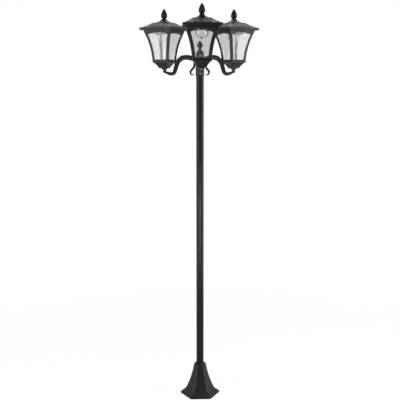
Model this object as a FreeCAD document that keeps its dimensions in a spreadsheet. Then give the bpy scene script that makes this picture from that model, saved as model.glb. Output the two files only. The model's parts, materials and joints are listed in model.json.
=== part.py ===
import FreeCAD, Part
import Sketcher
import math
import os
import re

# Triple head lamp post: a slim round post on a six-sided flared foot, with three square
# lanterns on S-shaped arms, 120 degrees apart. Lengths in millimetres, +Z up, origin on the
# floor at the post's axis. The front lantern hangs out along -Y.

Vector = FreeCAD.Vector
Rotation = FreeCAD.Rotation
Placement = FreeCAD.Placement

UP = Vector(0, 0, 1)
ARM_STEP = 120        # degrees from one arm to the next
SQUARE = 90           # degrees in a right angle
COVER_SIDES = 6

doc = FreeCAD.newDocument("LampPost")
sheet = doc.addObject("Spreadsheet::Sheet", "Sizes")

SIZES = [
    ("Clearances", None),
    ("seat_gap", 0.1),
    ("slide_gap", 0.3),
    ("overcut", 1),
    ("Foot plate and post", None),
    ("plate_diameter", 140),
    ("plate_thickness", 4),
    ("anchor_circle", 100),
    ("anchor_hole", 9),
    ("spigot_height", 90),
    ("spigot_wall", 2.5),
    ("tube_diameter", 35),
    ("tube_wall", 1.5),
    ("tube_length", 516.5),
    ("coupler_length", 90),
    ("coupler_wall", 2),
    ("post_screw_height", 60),
    ("post_screw_diameter", 5),
    ("post_screw_head", 9),
    ("post_screw_head_height", 3),
    ("Base cover, half sizes across its flats", None),
    ("foot_half", 83),
    ("foot_lip", 7),
    ("flare_half", 63),
    ("flare_height", 21),
    ("bell_radius", 440),
    ("shoulder_half", 26.8),
    ("shoulder_height", 147),
    ("cover_top_half", 20),
    ("cover_height", 155.5),
    ("cover_wall", 3),
    ("cover_play", 0.6),
    ("Hub, heights above its collar's lower edge", None),
    ("socket_depth", 31),
    ("collar_radius", 19.8),
    ("collar_height", 50),
    ("drum_radius", 22),
    ("drum_height", 37),
    ("drum_bevel", 2),
    ("arm_height", 72),
    ("pad_reach", 19),
    ("spigot_diameter", 12),
    ("spigot_length", 9),
    ("cone_radius", 18.5),
    ("cone_waist_radius", 14.5),
    ("cone_waist_height", 110),
    ("cone_side_radius", 37),
    ("cone_neck_radius", 22.2),
    ("neck_radius", 6),
    ("neck_height", 126),
    ("bud_radius", 14),
    ("bud_swell", 10.5),
    ("bud_height", 33),
    ("bud_tip", 0.8),
    ("bud_side_radius", 42),
    ("thread_radius", 3),
    ("thread_length", 9),
    ("Arm with its scroll, heights above the cup's foot", None),
    ("arm_reach", 186.5),
    ("head_rise", 31.5),
    ("arm_thickness", 21.5),
    ("valley_thickness", 15.5),
    ("arch_reach", 74),
    ("arch_rise", 14.5),
    ("arch_radius", 50),
    ("fall_angle", 72),
    ("valley_radius", 20.5),
    ("rise_radius", 45),
    ("rise_angle", 18),
    ("arm_tip_thickness", 9),
    ("boss_radius", 8),
    ("boss_height", 9),
    ("stud_diameter", 8),
    ("stud_length", 20),
    ("scroll_reach", 29),
    ("scroll_drop", 21),
    ("scroll_bend", 18),
    ("scroll_run", 16.7),
    ("scroll_angle", 45),
    ("curl_radius", 11),
    ("curl_sweep", 160),
    ("scroll_diameter", 9),
    ("scroll_tip_diameter", 5.5),
    ("nut_width", 17),
    ("nut_thickness", 4.5),
    ("Cup under each lantern, half sizes", None),
    ("cup_tip_half", 8.5),
    ("cup_foot_half", 12.2),
    ("cup_foot_height", 6.5),
    ("tier_half", 20.5),
    ("tier_height", 3),
    ("cup_bow", 57),
    ("cup_lip", 3),
    ("cup_height", 36.5),
    ("cup_wall", 3),
    ("cup_floor", 10),
    ("Lantern frame and panes, half sizes", None),
    ("frame_low_half", 40.5),
    ("frame_high_half", 69),
    ("frame_curve", 136),
    ("frame_collar", 12),
    ("frame_bow", 420),
    ("frame_wall", 3),
    ("bar_width", 11.5),
    ("rail_height", 9),
    ("spring_height", 121),
    ("crown_height", 132),
    ("pane_thickness", 2),
    ("pane_slot", 2),
    ("Roof, half sizes", None),
    ("eave_half", 84),
    ("eave_height", 11.5),
    ("lip_drop", 6),
    ("lip_thickness", 3.5),
    ("rim_width", 7),
    ("slope_rise", 22.7),
    ("ledge_half", 36.5),
    ("ledge_rise", 1.5),
    ("step_half", 25),
    ("step_rise", 1.5),
    ("cap_rise", 14.3),
    ("cap_bow", 26),
    ("cap_top_half", 9),
    ("roof_shell", 3.4),
    ("panel_width", 74),
    ("panel_length", 38.5),
    ("panel_margin", 4.2),
    ("panel_thickness", 2),
    ("panel_seat", 1.6),
    ("finial_low_radius", 8),
    ("finial_radius", 13.4),
    ("finial_swell", 14),
    ("finial_height", 46),
    ("finial_tip_radius", 1),
    ("finial_side_radius", 80),
    ("Tray under the roof, with what it carries", None),
    ("tray_thickness", 1.6),
    ("skirt_play", 0.5),
    ("skirt_depth", 7),
    ("skirt_wall", 2),
    ("screw_place", 55),
    ("tray_screw_diameter", 3),
    ("tray_screw_head", 6),
    ("tray_screw_head_height", 2),
    ("tray_screw_length", 8),
    ("tray_boss", 8),
    ("battery_diameter", 14.5),
    ("battery_length", 50),
    ("battery_place", 41),
    ("bay_play", 2),
    ("bay_wall", 1.6),
    ("bay_height", 12),
    ("door_length", 60),
    ("door_width", 22),
    ("door_thickness", 1.7),
    ("hinge_radius", 1.9),
    ("hinge_pin_radius", 1),
    ("hinge_pin_play", 0.15),
    ("lug_thickness", 3),
    ("lug_depth", 5),
    ("lug_width", 5),
    ("switch_place", 46),
    ("switch_stem", 5),
    ("switch_travel", 4),
    ("switch_grip", 4),
    ("switch_flange", 2.5),
    ("switch_flange_height", 1.5),
    ("board_radius", 16),
    ("board_thickness", 1.6),
    ("lamp_radius", 2.5),
    ("lamp_height", 3),
    ("globe_radius", 28.5),
    ("globe_drop", 29.5),
    ("globe_neck", 19),
    ("globe_wall", 1.8),
]
ALIASES = set()
for row, (alias, size) in enumerate(SIZES, 1):
    if size is None:
        sheet.set("A%d" % row, alias)
        continue
    sheet.set("A%d" % row, str(size))
    sheet.setAlias("A%d" % row, alias)
    ALIASES.add(alias)
doc.recompute()


def value(expression):
    """The number that an expression in the sheet's names gives."""
    return float(sheet.evalExpression(expression))


def bound(expression):
    """The same expression as other objects write it, with the sheet's name before each alias."""
    def named(word):
        return "Sizes." + word.group() if word.group() in ALIASES else word.group()

    return re.sub(r"[a-z][a-z_]*", named, expression)


def bind(thing, **properties):
    """Ties an object's properties to expressions in the sheet's names."""
    for name, expression in properties.items():
        thing.setExpression(name, bound(expression))


def place(thing, x="0", y="0", z="0", turn=None):
    """Puts an object at a point given by expressions, after a rotation."""
    if turn is not None:
        thing.Placement = Placement(Vector(), turn)
    for axis, expression in zip("xyz", (x, y, z)):
        thing.setExpression("Placement.Base." + axis, bound(expression))


# ---------------------------------------------------------------- outlines


def arc_centre(start, end, radius, side):
    """The centre of the arc of under half a turn, on the left (side 1) or right (-1) of the way along it."""
    chord = end - start
    across = Vector(-chord.y, chord.x, 0).normalize()
    return (start + end) * 0.5 + across * side * math.sqrt(radius * radius - chord.Length ** 2 / 4)


def draw(sketch, points, closed=True):
    """Draws an outline through points (x, y) or (x, y, radius, side), all expressions.

    A point with a radius is reached by an arc, whose centre lies to the left (side 1) or right (side -1).
    Every corner and radius is constrained to its expression.
    """
    corners = [Vector(value(p[0]), value(p[1]), 0) for p in points]
    edges = []
    count = len(points) if closed else len(points) - 1
    for index in range(count):
        following = (index + 1) % len(points)
        start, end = corners[index], corners[following]
        target = points[following]
        if len(target) == 2:
            edges.append((sketch.addGeometry(Part.LineSegment(start, end)), 1, 2))
            continue
        radius, side = value(target[2]), target[3]
        centre = arc_centre(start, end, radius, side)
        angles = [math.atan2(p.y - centre.y, p.x - centre.x) for p in (start, end)]
        if side < 0:
            angles.reverse()
        circle = Part.Circle(centre, UP, radius)
        edge = sketch.addGeometry(Part.ArcOfCircle(circle, angles[0], angles[1]))
        edges.append((edge, 1, 2) if side > 0 else (edge, 2, 1))
        number = sketch.addConstraint(Sketcher.Constraint("Radius", edge, radius))
        sketch.setExpression("Constraints[%d]" % number, bound(target[2]))
    for index in range(len(points)):
        if index < count:
            edge, near = edges[index][0], edges[index][1]
        else:
            edge, near = edges[-1][0], edges[-1][2]
        if index > 0 or closed:
            before = edges[index - 1]
            if index < count:
                sketch.addConstraint(Sketcher.Constraint("Coincident", before[0], before[2], edge, near))
        corner = corners[index]
        for kind, number, expression in (("DistanceX", corner.x, points[index][0]),
                                         ("DistanceY", corner.y, points[index][1])):
            constraint = sketch.addConstraint(Sketcher.Constraint(kind, -1, 1, edge, near, number))
            sketch.setExpression("Constraints[%d]" % constraint, bound(expression))
    return sketch


def ring(sketch, radius, x="0", y="0"):
    """Draws a circle whose centre and radius are expressions."""
    centre = Vector(value(x), value(y), 0)
    edge = sketch.addGeometry(Part.Circle(centre, UP, value(radius)))
    number = sketch.addConstraint(Sketcher.Constraint("Radius", edge, value(radius)))
    sketch.setExpression("Constraints[%d]" % number, bound(radius))
    for kind, place_at, expression in (("DistanceX", centre.x, x), ("DistanceY", centre.y, y)):
        number = sketch.addConstraint(Sketcher.Constraint(kind, -1, 1, edge, 3, place_at))
        sketch.setExpression("Constraints[%d]" % number, bound(expression))
    return sketch


def mirrored(half):
    """The whole outline of a piece from its right half, listed from the bottom up."""
    left = []
    for index in range(len(half) - 1, -1, -1):
        x, y = "-(%s)" % half[index][0], half[index][1]
        reached = half[index + 1] if index + 1 < len(half) else None
        if reached is not None and len(reached) == 4:
            left.append((x, y, reached[2], reached[3]))
        else:
            left.append((x, y))
    return half + left


# ---------------------------------------------------------------- loose solids and booleans


def standing_sketch(label, points):
    """A sketch on the XZ plane, free of any body."""
    sketch = doc.addObject("Sketcher::SketchObject", label)
    sketch.Placement = Placement(Vector(), Rotation(Vector(1, 0, 0), SQUARE))
    return draw(sketch, points)


def slab(label, sketch, length, turn=0):
    """The sketch drawn out both ways along its normal, turned about Z."""
    solid = doc.addObject("Part::Extrusion", label)
    solid.Base = sketch
    solid.DirMode = "Normal"
    solid.Symmetric = True
    solid.Solid = True
    bind(solid, LengthFwd=length)
    solid.Placement = Placement(Vector(), Rotation(UP, turn))
    return solid


def common(label, things):
    shared = doc.addObject("Part::MultiCommon", label)
    shared.Shapes = things
    return shared


def fuse(label, things):
    joined = doc.addObject("Part::MultiFuse", label)
    joined.Shapes = things
    return joined


def cut(label, base, *tools):
    tool = tools[0] if len(tools) == 1 else fuse(label + "_cuts", list(tools))
    rest = doc.addObject("Part::Cut", label)
    rest.Base = base
    rest.Tool = tool
    return rest


def group(label, things):
    together = doc.addObject("Part::Compound", label)
    together.Links = things
    return together


def mitred(label, half, length, sides=4):
    """A solid with the same outline on each of its sides, one of them facing -Y, met at mitred corners."""
    sketch = standing_sketch(label + "_outline", mirrored(half))
    step = 4 * SQUARE / sides
    turns = [SQUARE + step * number for number in range(sides // 2)]
    return common(label, [slab("%s_way_%d" % (label, turn), sketch, length, turn) for turn in turns])


def across(half):
    """The length of a slab that reaches well past a piece with that half size."""
    return "3 * %s" % half


def block(label, x, y, z):
    """A box from pairs of expressions, its low and high end along each axis."""
    box = doc.addObject("Part::Box", label)
    bind(box, Length="(%s) - (%s)" % (x[1], x[0]), Width="(%s) - (%s)" % (y[1], y[0]),
         Height="(%s) - (%s)" % (z[1], z[0]))
    place(box, x[0], y[0], z[0])
    return box


def rod(label, radius, low, high, x="0", y="0"):
    """An upright cylinder."""
    cylinder = doc.addObject("Part::Cylinder", label)
    bind(cylinder, Radius=radius, Height="(%s) - (%s)" % (high, low))
    place(cylinder, x, y, low)
    return cylinder


def lying_rod(label, radius, left, right, y, z):
    """A cylinder along X."""
    cylinder = doc.addObject("Part::Cylinder", label)
    bind(cylinder, Radius=radius, Height="(%s) - (%s)" % (right, left))
    place(cylinder, left, y, z, Rotation(Vector(0, 1, 0), SQUARE))
    return cylinder


def opposite(label, maker):
    """The same piece in two opposite corners of a lantern; maker gets a label and the corner's signs."""
    return [maker("%s_%d" % (label, number), sign, sign) for number, sign in enumerate((1, -1), 1)]


# ---------------------------------------------------------------- bodies with features


def new_body(label):
    return doc.addObject("PartDesign::Body", label)


def plane_of(body, role):
    return [feature for feature in body.Origin.OriginFeatures if feature.Role == role][0]


def body_sketch(body, label, role="XZ_Plane", offset="0"):
    """An empty sketch on one of the body's own planes, moved along the plane's normal."""
    sketch = body.newObject("Sketcher::SketchObject", label)
    sketch.AttachmentSupport = [(plane_of(body, role), "")]
    sketch.MapMode = "FlatFace"
    if offset != "0":
        sketch.AttachmentOffset = Placement(Vector(0, 0, value(offset)), Rotation())
        sketch.setExpression("AttachmentOffset.Base.z", bound(offset))
    return sketch


def revolve(body, label, points):
    """A full turn of an outline in the XZ plane about Z."""
    sketch = draw(body_sketch(body, label + "_outline"), points)
    feature = body.newObject("PartDesign::Revolution", label)
    feature.Profile = sketch
    feature.ReferenceAxis = (sketch, ["V_Axis"])
    feature.Angle = 4 * SQUARE
    return feature


def pad(body, label, sketch, length, backwards=False):
    feature = body.newObject("PartDesign::Pad", label)
    feature.Profile = sketch
    bind(feature, Length=length)
    feature.Reversed = backwards
    return feature


def pocket(body, label, sketch, length, backwards=False):
    feature = body.newObject("PartDesign::Pocket", label)
    feature.Profile = sketch
    bind(feature, Length=length)
    feature.Reversed = backwards
    return feature


def thrice(body, label, features):
    """Repeats features three times round the body's upright axis."""
    pattern = body.newObject("PartDesign::PolarPattern", label)
    pattern.Originals = features
    pattern.Axis = (plane_of(body, "Z_Axis"), [""])
    pattern.Angle = 4 * SQUARE
    pattern.Occurrences = 3
    body.Tip = pattern
    return pattern


# ---------------------------------------------------------------- shared heights

TUBE_TOP = "(plate_thickness + 3 * tube_length)"
COLLAR_LOW = "(%s - socket_depth)" % TUBE_TOP
HEAD_BASE = "(%s + head_rise)" % COLLAR_LOW
TUBE_BORE = "(tube_diameter / 2 - tube_wall)"

# Heights in a lantern count from the foot of its cup.
CURVE_TOP = "(cup_height + frame_curve)"
FRAME_TOP = "(cup_height + frame_curve + frame_collar)"
EAVE_LOW = "(cup_height + frame_curve + frame_collar - lip_drop)"
EAVE_TOP = "(cup_height + frame_curve + frame_collar - lip_drop + eave_height)"
LEDGE = "(%s + slope_rise)" % EAVE_TOP
STEP = "(%s + ledge_rise)" % LEDGE
CAP_LOW = "(%s + step_rise)" % STEP
CAP_TOP = "(%s + cap_rise)" % CAP_LOW
TRAY_LOW = "(%s + slide_gap)" % FRAME_TOP
TRAY_TOP = "(%s + tray_thickness)" % TRAY_LOW
LIP_INSIDE = "(eave_half - lip_thickness)"
SLOPE_FOOT = "(eave_half - rim_width)"
RIM_UNDERSIDE = "(%s + slide_gap)" % TRAY_TOP


# ---------------------------------------------------------------- foot and post


def make_base_plate():
    """Round anchor plate with a pipe that the post slides over."""
    body = new_body("base_plate")
    outside = "(%s - seat_gap)" % TUBE_BORE
    revolve(body, "plate_and_pipe", [
        ("0", "0"), ("plate_diameter / 2", "0"), ("plate_diameter / 2", "plate_thickness"),
        (outside, "plate_thickness"), (outside, "plate_thickness + spigot_height"),
        (outside + " - spigot_wall", "plate_thickness + spigot_height"),
        (outside + " - spigot_wall", "plate_thickness"), ("0", "plate_thickness")])
    hole_sketch = body_sketch(body, "anchor_hole_outline", "XY_Plane", "plate_thickness")
    ring(hole_sketch, "anchor_hole / 2", "0", "-anchor_circle / 2")
    anchor = pocket(body, "anchor_bore", hole_sketch, "plate_thickness")
    thrice(body, "anchor_bores", [anchor])
    screw_sketch = body_sketch(body, "screw_hole_outline", "XZ_Plane")
    ring(screw_sketch, "post_screw_diameter / 2 + seat_gap", "0", "post_screw_height")
    screw_bore = pocket(body, "screw_bore", screw_sketch, "tube_diameter", True)
    thrice(body, "screw_bores", [screw_bore])
    return body


def make_tube(label, number, drilled=False):
    """One length of the post; the lowest one is drilled for the foot's screws."""
    body = new_body(label)
    low = "plate_thickness + %d * tube_length" % number
    sketch = body_sketch(body, label + "_section", "XY_Plane", low)
    ring(sketch, "tube_diameter / 2")
    ring(sketch, TUBE_BORE)
    pad(body, label + "_wall", sketch, "tube_length")
    if drilled:
        hole_sketch = body_sketch(body, label + "_hole_outline", "XZ_Plane")
        ring(hole_sketch, "post_screw_diameter / 2 + seat_gap", "0", "post_screw_height")
        hole = pocket(body, label + "_hole", hole_sketch, "tube_diameter", True)
        thrice(body, label + "_holes", [hole])
    return body


def make_coupler(label, joint):
    """Sleeve inside the post, half in the tube below a joint and half in the one above."""
    body = new_body(label)
    low = "plate_thickness + %d * tube_length - coupler_length / 2" % joint
    sketch = body_sketch(body, label + "_section", "XY_Plane", low)
    ring(sketch, "%s - seat_gap" % TUBE_BORE)
    ring(sketch, "%s - seat_gap - coupler_wall" % TUBE_BORE)
    pad(body, label + "_wall", sketch, "coupler_length")
    return body


def make_post_screws():
    """Three screws round the foot of the post, one along -Y."""
    screws = []
    for number in range(3):
        turn = Rotation(UP, ARM_STEP * number).multiply(Rotation(Vector(1, 0, 0), SQUARE))
        shank = doc.addObject("Part::Cylinder", "post_screw_shank_%d" % number)
        bind(shank, Radius="post_screw_diameter / 2",
             Height="tube_wall + spigot_wall + 2 * post_screw_head_height")
        head = doc.addObject("Part::Cylinder", "post_screw_head_%d" % number)
        bind(head, Radius="post_screw_head / 2", Height="post_screw_head_height")
        inner = "(tube_diameter / 2 - tube_wall - spigot_wall - post_screw_head_height)"
        outer = "(tube_diameter / 2 + seat_gap)"
        for piece, reach in ((shank, inner), (head, outer)):
            angle = ARM_STEP * number
            place(piece, "%s * sin(%d deg)" % (reach, angle), "-%s * cos(%d deg)" % (reach, angle),
                  "post_screw_height", turn)
        screws.append(fuse("post_screw_%d" % number, [shank, head]))
    return group("post_screws", screws)


def make_base_cover():
    """Six-sided bell that slides down the post and hides the plate."""
    outside = [
        ("foot_half", "0"), ("foot_half", "foot_lip"), ("flare_half", "flare_height"),
        ("shoulder_half", "shoulder_height", "bell_radius", -1), ("cover_top_half", "cover_height")]
    inside = [
        ("foot_half - cover_wall", "-cover_wall"), ("foot_half - cover_wall", "foot_lip - cover_wall / 2"),
        ("flare_half - cover_wall", "flare_height - cover_wall / 2"),
        ("shoulder_half - cover_wall", "shoulder_height - cover_wall / 2", "bell_radius", -1),
        ("cover_top_half", "cover_height - cover_wall")]
    width = across("foot_half")
    shell = mitred("cover_outside", outside, width, COVER_SIDES)
    hollow = mitred("cover_inside", inside, width, COVER_SIDES)
    bore = rod("cover_bore", "tube_diameter / 2 + cover_play", "0", "cover_height + overcut")
    return cut("base_cover", shell, hollow, bore)


# ---------------------------------------------------------------- hub


def make_hub():
    """Head casting: collar round the post, drum with a flat and a socket for each arm, and the cone."""
    body = new_body("hub")
    socket = "(tube_diameter / 2 + seat_gap)"
    drum_low = "collar_height + drum_radius - collar_radius"
    drum_high = "collar_height + drum_height"
    thread = "(thread_radius + seat_gap)"
    thread_floor = "neck_height - thread_length - overcut"
    feature = revolve(body, "hub_casting", [
        (socket, "0"), ("collar_radius", "0"), ("collar_radius", "collar_height"),
        ("drum_radius", drum_low), ("drum_radius", drum_high),
        ("cone_radius", "%s + drum_bevel" % drum_high),
        ("cone_waist_radius", "cone_waist_height", "cone_side_radius", 1),
        ("neck_radius", "neck_height", "cone_neck_radius", -1),
        (thread, "neck_height"), (thread, thread_floor), ("0", thread_floor),
        ("0", "socket_depth"), (socket, "socket_depth")])
    flat_sketch = body_sketch(body, "pad_outline", "YZ_Plane", "pad_reach")
    half, low, high = "drum_radius", drum_low, drum_high
    draw(flat_sketch, [("-" + half, low), (half, low), (half, high), ("-" + half, high)])
    flat = pocket(body, "arm_pad", flat_sketch, "drum_radius", True)
    bore_sketch = body_sketch(body, "arm_bore_outline", "YZ_Plane", "pad_reach")
    ring(bore_sketch, "spigot_diameter / 2 + seat_gap", "0", "arm_height")
    bore = pocket(body, "arm_bore", bore_sketch, "spigot_length + overcut")
    thrice(body, "arm_seats", [flat, bore])
    place(body, z=COLLAR_LOW, turn=Rotation(UP, -SQUARE))
    return body


def make_hub_finial():
    """Pointed bud screwed into the hub's cone."""
    body = new_body("hub_finial")
    revolve(body, "bud", [
        ("0", "-thread_length"), ("thread_radius", "-thread_length"), ("thread_radius", "0"),
        ("neck_radius", "0"), ("bud_radius", "bud_swell", "bud_radius", 1),
        ("bud_tip", "bud_height", "bud_side_radius", 1), ("0", "bud_height")])
    place(body, z="%s + neck_height" % COLLAR_LOW)
    return body


# ---------------------------------------------------------------- arm

# The arm's centre line, seen from the side: out from the hub over an arch, down a straight fall,
# round a valley and up to the lantern. The fall is as long as the lantern's height asks.
ARM_ROOT = "(arm_height - head_rise)"
ARCH_TOP = "(arm_height - head_rise + arch_rise)"
ARM_END = "(-nut_thickness - arm_tip_thickness / 2 - overcut)"
ARCH_RUN = "(arch_reach - pad_reach)"
ARCH_START = "((%s * %s + arch_rise * arch_rise) / (2 * arch_rise))" % (ARCH_RUN, ARCH_RUN)
TURNS = "(arch_radius + valley_radius)"
RISE_TAN = "tan(rise_angle * 1 deg)"
FALL_SIN = "sin(fall_angle * 1 deg)"
FALL_COS = "cos(fall_angle * 1 deg)"
RISE_SIN = "sin(rise_angle * 1 deg)"
RISE_COS = "cos(rise_angle * 1 deg)"
FALL_SPAN = "(arm_reach - arch_reach - %s * %s - rise_radius * %s)" % (TURNS, FALL_SIN, RISE_SIN)
FALL_DROP = "(%s - %s - %s * (1 - %s) + rise_radius * (1 - %s) + %s * %s)" % (
    ARCH_TOP, ARM_END, TURNS, FALL_COS, RISE_COS, FALL_SPAN, RISE_TAN)
FALL = "(%s / (%s + %s * %s))" % (FALL_DROP, FALL_SIN, FALL_COS, RISE_TAN)


def pipe(body, label, path, sections):
    """Draws the first section along the path, blending into the others where there are more."""
    feature = body.newObject("PartDesign::AdditivePipe", label)
    feature.Profile = sections[0]
    feature.Spine = path
    if len(sections) > 1:
        feature.Sections = sections[1:]
        feature.Transformation = "Multisection"
    return feature


def end_section(body, label, path, edge, radius):
    """A round section square to the far end of one of the path's edges."""
    doc.recompute()
    sketch = body.newObject("Sketcher::SketchObject", label)
    sketch.AttachmentSupport = [(path, edge)]
    sketch.MapMode = "NormalToEdge"
    sketch.MapPathParameter = 1
    return ring(sketch, radius)


def bar_section(body, label, reach, height, thickness):
    """Six-sided section of the arm in an upright plane, its sharp edges to the sides."""
    sketch = body_sketch(body, label, "YZ_Plane", reach)
    side = "((%s) / sqrt(3))" % thickness
    high, low = "%s + (%s) / 2" % (height, thickness), "%s - (%s) / 2" % (height, thickness)
    return draw(sketch, [
        (side, height), (side + " / 2", high), ("-%s / 2" % side, high),
        ("-" + side, height), ("-%s / 2" % side, low), (side + " / 2", low)])


def make_arm():
    """Cast arm along +X with a six-sided section, its spigot, its stud and the scroll below it."""
    body = new_body("arm_pattern")
    arch_end = ("arch_reach + arch_radius * " + FALL_SIN,
                "%s - arch_radius * (1 - %s)" % (ARCH_TOP, FALL_COS))
    fall_end = ("%s + %s * %s" % (arch_end[0], FALL, FALL_COS),
                "%s - %s * %s" % (arch_end[1], FALL, FALL_SIN))
    valley = ("%s + valley_radius * %s" % (fall_end[0], FALL_SIN),
              "%s - valley_radius * (1 - %s)" % (fall_end[1], FALL_COS))
    line = draw(body_sketch(body, "arm_line"), [
        ("pad_reach", ARM_ROOT), ("arch_reach", ARCH_TOP, ARCH_START, -1),
        arch_end + ("arch_radius", -1), fall_end, valley + ("valley_radius", 1)], closed=False)
    root = bar_section(body, "arm_section", "pad_reach", ARM_ROOT, "arm_thickness")
    crest = bar_section(body, "crest_section", "arch_reach", ARCH_TOP, "arm_thickness")
    waist = bar_section(body, "valley_section", valley[0], valley[1], "valley_thickness")
    pipe(body, "arm_bar", line, [root, crest, waist])

    half_rise = "(%s * rise_radius / 2)" % RISE_SIN
    half_lift = "(rise_radius - sqrt(rise_radius * rise_radius - %s * %s))" % (half_rise, half_rise)
    stations = [
        (valley[0], valley[1], "valley_thickness"),
        ("%s + %s" % (valley[0], half_rise), "%s + %s" % (valley[1], half_lift),
         "valley_thickness + (arm_tip_thickness - valley_thickness) / 4"),
        ("%s + 2 * %s" % (valley[0], half_rise), "%s + rise_radius * (1 - %s)" % (valley[1], RISE_COS),
         "(valley_thickness + arm_tip_thickness) / 2"),
        ("arm_reach", ARM_END, "arm_tip_thickness")]
    sections = [bar_section(body, "tip_section_%d" % number, *station)
                for number, station in enumerate(stations)]
    tip = body.newObject("PartDesign::AdditiveLoft", "arm_tip")
    tip.Profile = sections[0]
    tip.Sections = sections[1:]

    spigot = body_sketch(body, "spigot_section", "YZ_Plane", "pad_reach")
    ring(spigot, "spigot_diameter / 2", "0", ARM_ROOT)
    pad(body, "spigot", spigot, "spigot_length", True)

    boss = body_sketch(body, "boss_section", "XY_Plane", "-nut_thickness - boss_height")
    ring(boss, "boss_radius", "arm_reach")
    pad(body, "boss", boss, "boss_height")
    stud = body_sketch(body, "stud_section", "XY_Plane", "-nut_thickness")
    ring(stud, "stud_diameter / 2", "arm_reach")
    pad(body, "stud", stud, "stud_length")

    bend = "(%s - scroll_drop)" % ARM_ROOT
    sine, cosine = "sin(scroll_angle * 1 deg)", "cos(scroll_angle * 1 deg)"
    bend_end = ("scroll_reach + scroll_bend * (1 - %s)" % cosine, "%s - scroll_bend * %s" % (bend, sine))
    run_end = ("%s + scroll_run * %s" % (bend_end[0], sine), "%s - scroll_run * %s" % (bend_end[1], cosine))
    centre = ("%s - curl_radius * %s" % (run_end[0], cosine), "%s - curl_radius * %s" % (run_end[1], sine))
    middle_angle = "(scroll_angle - curl_sweep / 2) * 1 deg"
    end_angle = "(scroll_angle - curl_sweep) * 1 deg"
    middle = ("%s + curl_radius * cos(%s)" % (centre[0], middle_angle),
              "%s + curl_radius * sin(%s)" % (centre[1], middle_angle))
    tip = ("%s + curl_radius * cos(%s)" % (centre[0], end_angle),
           "%s + curl_radius * sin(%s)" % (centre[1], end_angle))
    scroll_line = draw(body_sketch(body, "scroll_line"), [
        ("scroll_reach", ARM_ROOT), ("scroll_reach", bend), bend_end + ("scroll_bend", 1), run_end,
        middle + ("curl_radius", -1), tip + ("curl_radius", -1)], closed=False)
    root = body_sketch(body, "scroll_root", "XY_Plane", ARM_ROOT)
    ring(root, "scroll_diameter / 2", "scroll_reach")
    bulge = end_section(body, "scroll_middle", scroll_line, "Edge4", "scroll_diameter / 2")
    end = end_section(body, "scroll_end", scroll_line, "Edge5", "scroll_tip_diameter / 2")
    pipe(body, "scroll", scroll_line, [root, bulge, end])
    return body


def make_nuts():
    """Steel nuts on the arm's stud: one under the cup and one inside it."""
    nuts = []
    for name, low in (("nut_below", "-nut_thickness"), ("nut_inside", "cup_floor")):
        blank = doc.addObject("Part::Prism", name + "_blank")
        blank.Polygon = 6
        bind(blank, Circumradius="nut_width / sqrt(3)", Height="nut_thickness")
        place(blank, z=low)
        bore = rod(name + "_bore", "stud_diameter / 2 + seat_gap", "%s - overcut" % low,
                   "%s + nut_thickness + overcut" % low)
        nuts.append(cut(name, blank, bore))
    return group("nut_pattern", nuts)


# ---------------------------------------------------------------- lantern


def make_cup():
    """Stepped square cup, hollow above its foot, that carries the frame."""
    tier_top = "cup_foot_height + tier_height"
    outside = [
        ("cup_tip_half", "0"), ("cup_foot_half", "cup_foot_height"), ("tier_half", "cup_foot_height"),
        ("tier_half", tier_top), ("frame_low_half", "cup_height - cup_lip", "cup_bow", -1),
        ("frame_low_half", "cup_height")]
    inside = [
        ("tier_half - cup_wall", "cup_floor"),
        ("frame_low_half - cup_wall", "cup_height - cup_lip + cup_wall / 2", "cup_bow", -1),
        ("frame_low_half - cup_wall", "cup_height + cup_wall")]
    width = across("frame_low_half")
    shell = mitred("cup_outside", outside, width)
    hollow = mitred("cup_inside", inside, width)
    bore = rod("cup_bore", "stud_diameter / 2 + slide_gap", "-cup_wall", "cup_height")
    return cut("cup_pattern", shell, hollow, bore)


def frame_side(inset):
    """Right half of the lantern's concave outline, drawn in by an inset, up to the top of the curve."""
    return [("frame_low_half - " + inset, "cup_height"),
            ("frame_high_half - " + inset, CURVE_TOP, "frame_bow", -1)]


def frame_half_at(height):
    """Half width of the concave outline at a height above the cup's foot."""
    rise, run = "frame_curve", "(frame_high_half - frame_low_half)"
    chord = "sqrt(%s * %s + %s * %s)" % (rise, rise, run, run)
    back = "sqrt(frame_bow * frame_bow - (%s * %s + %s * %s) / 4)" % (rise, rise, run, run)
    centre_x = "((frame_low_half + frame_high_half) / 2 + %s * %s / %s)" % (back, rise, chord)
    centre_z = "(cup_height + %s / 2 - %s * %s / %s)" % (rise, back, run, chord)
    drop = "((%s) - %s)" % (height, centre_z)
    return "(%s - sqrt(frame_bow * frame_bow - %s * %s))" % (centre_x, drop, drop)


def make_frame():
    """Four concave walls with an arched window in each, between corner bars."""
    wide = across("frame_high_half")
    outside = frame_side("0") + [("frame_high_half", FRAME_TOP)]
    inside = frame_side("frame_wall") + [("frame_high_half - frame_wall", "%s + overcut" % FRAME_TOP)]
    inside.insert(0, ("frame_low_half - frame_wall", "cup_height - overcut"))
    shell = mitred("frame_outside", outside, wide)
    hollow = mitred("frame_inside", inside, wide)
    sill = "cup_height + rail_height"
    spring = "cup_height + spring_height"
    low = "%s - bar_width" % frame_half_at(sill)
    high = "%s - bar_width" % frame_half_at(spring)
    rise = "(crown_height - spring_height)"
    arch = "(((%s) * (%s) + %s * %s) / (2 * %s))" % (high, high, rise, rise, rise)
    window = standing_sketch("window_outline", [
        ("-(%s)" % low, sill, "frame_bow", -1), (low, sill), (high, spring, "frame_bow", -1),
        ("-(%s)" % high, spring, arch, 1)])
    windows = [slab("windows_%d" % turn, window, wide, turn) for turn in (0, SQUARE)]
    return cut("frame_pattern", shell, hollow, *windows)


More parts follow.
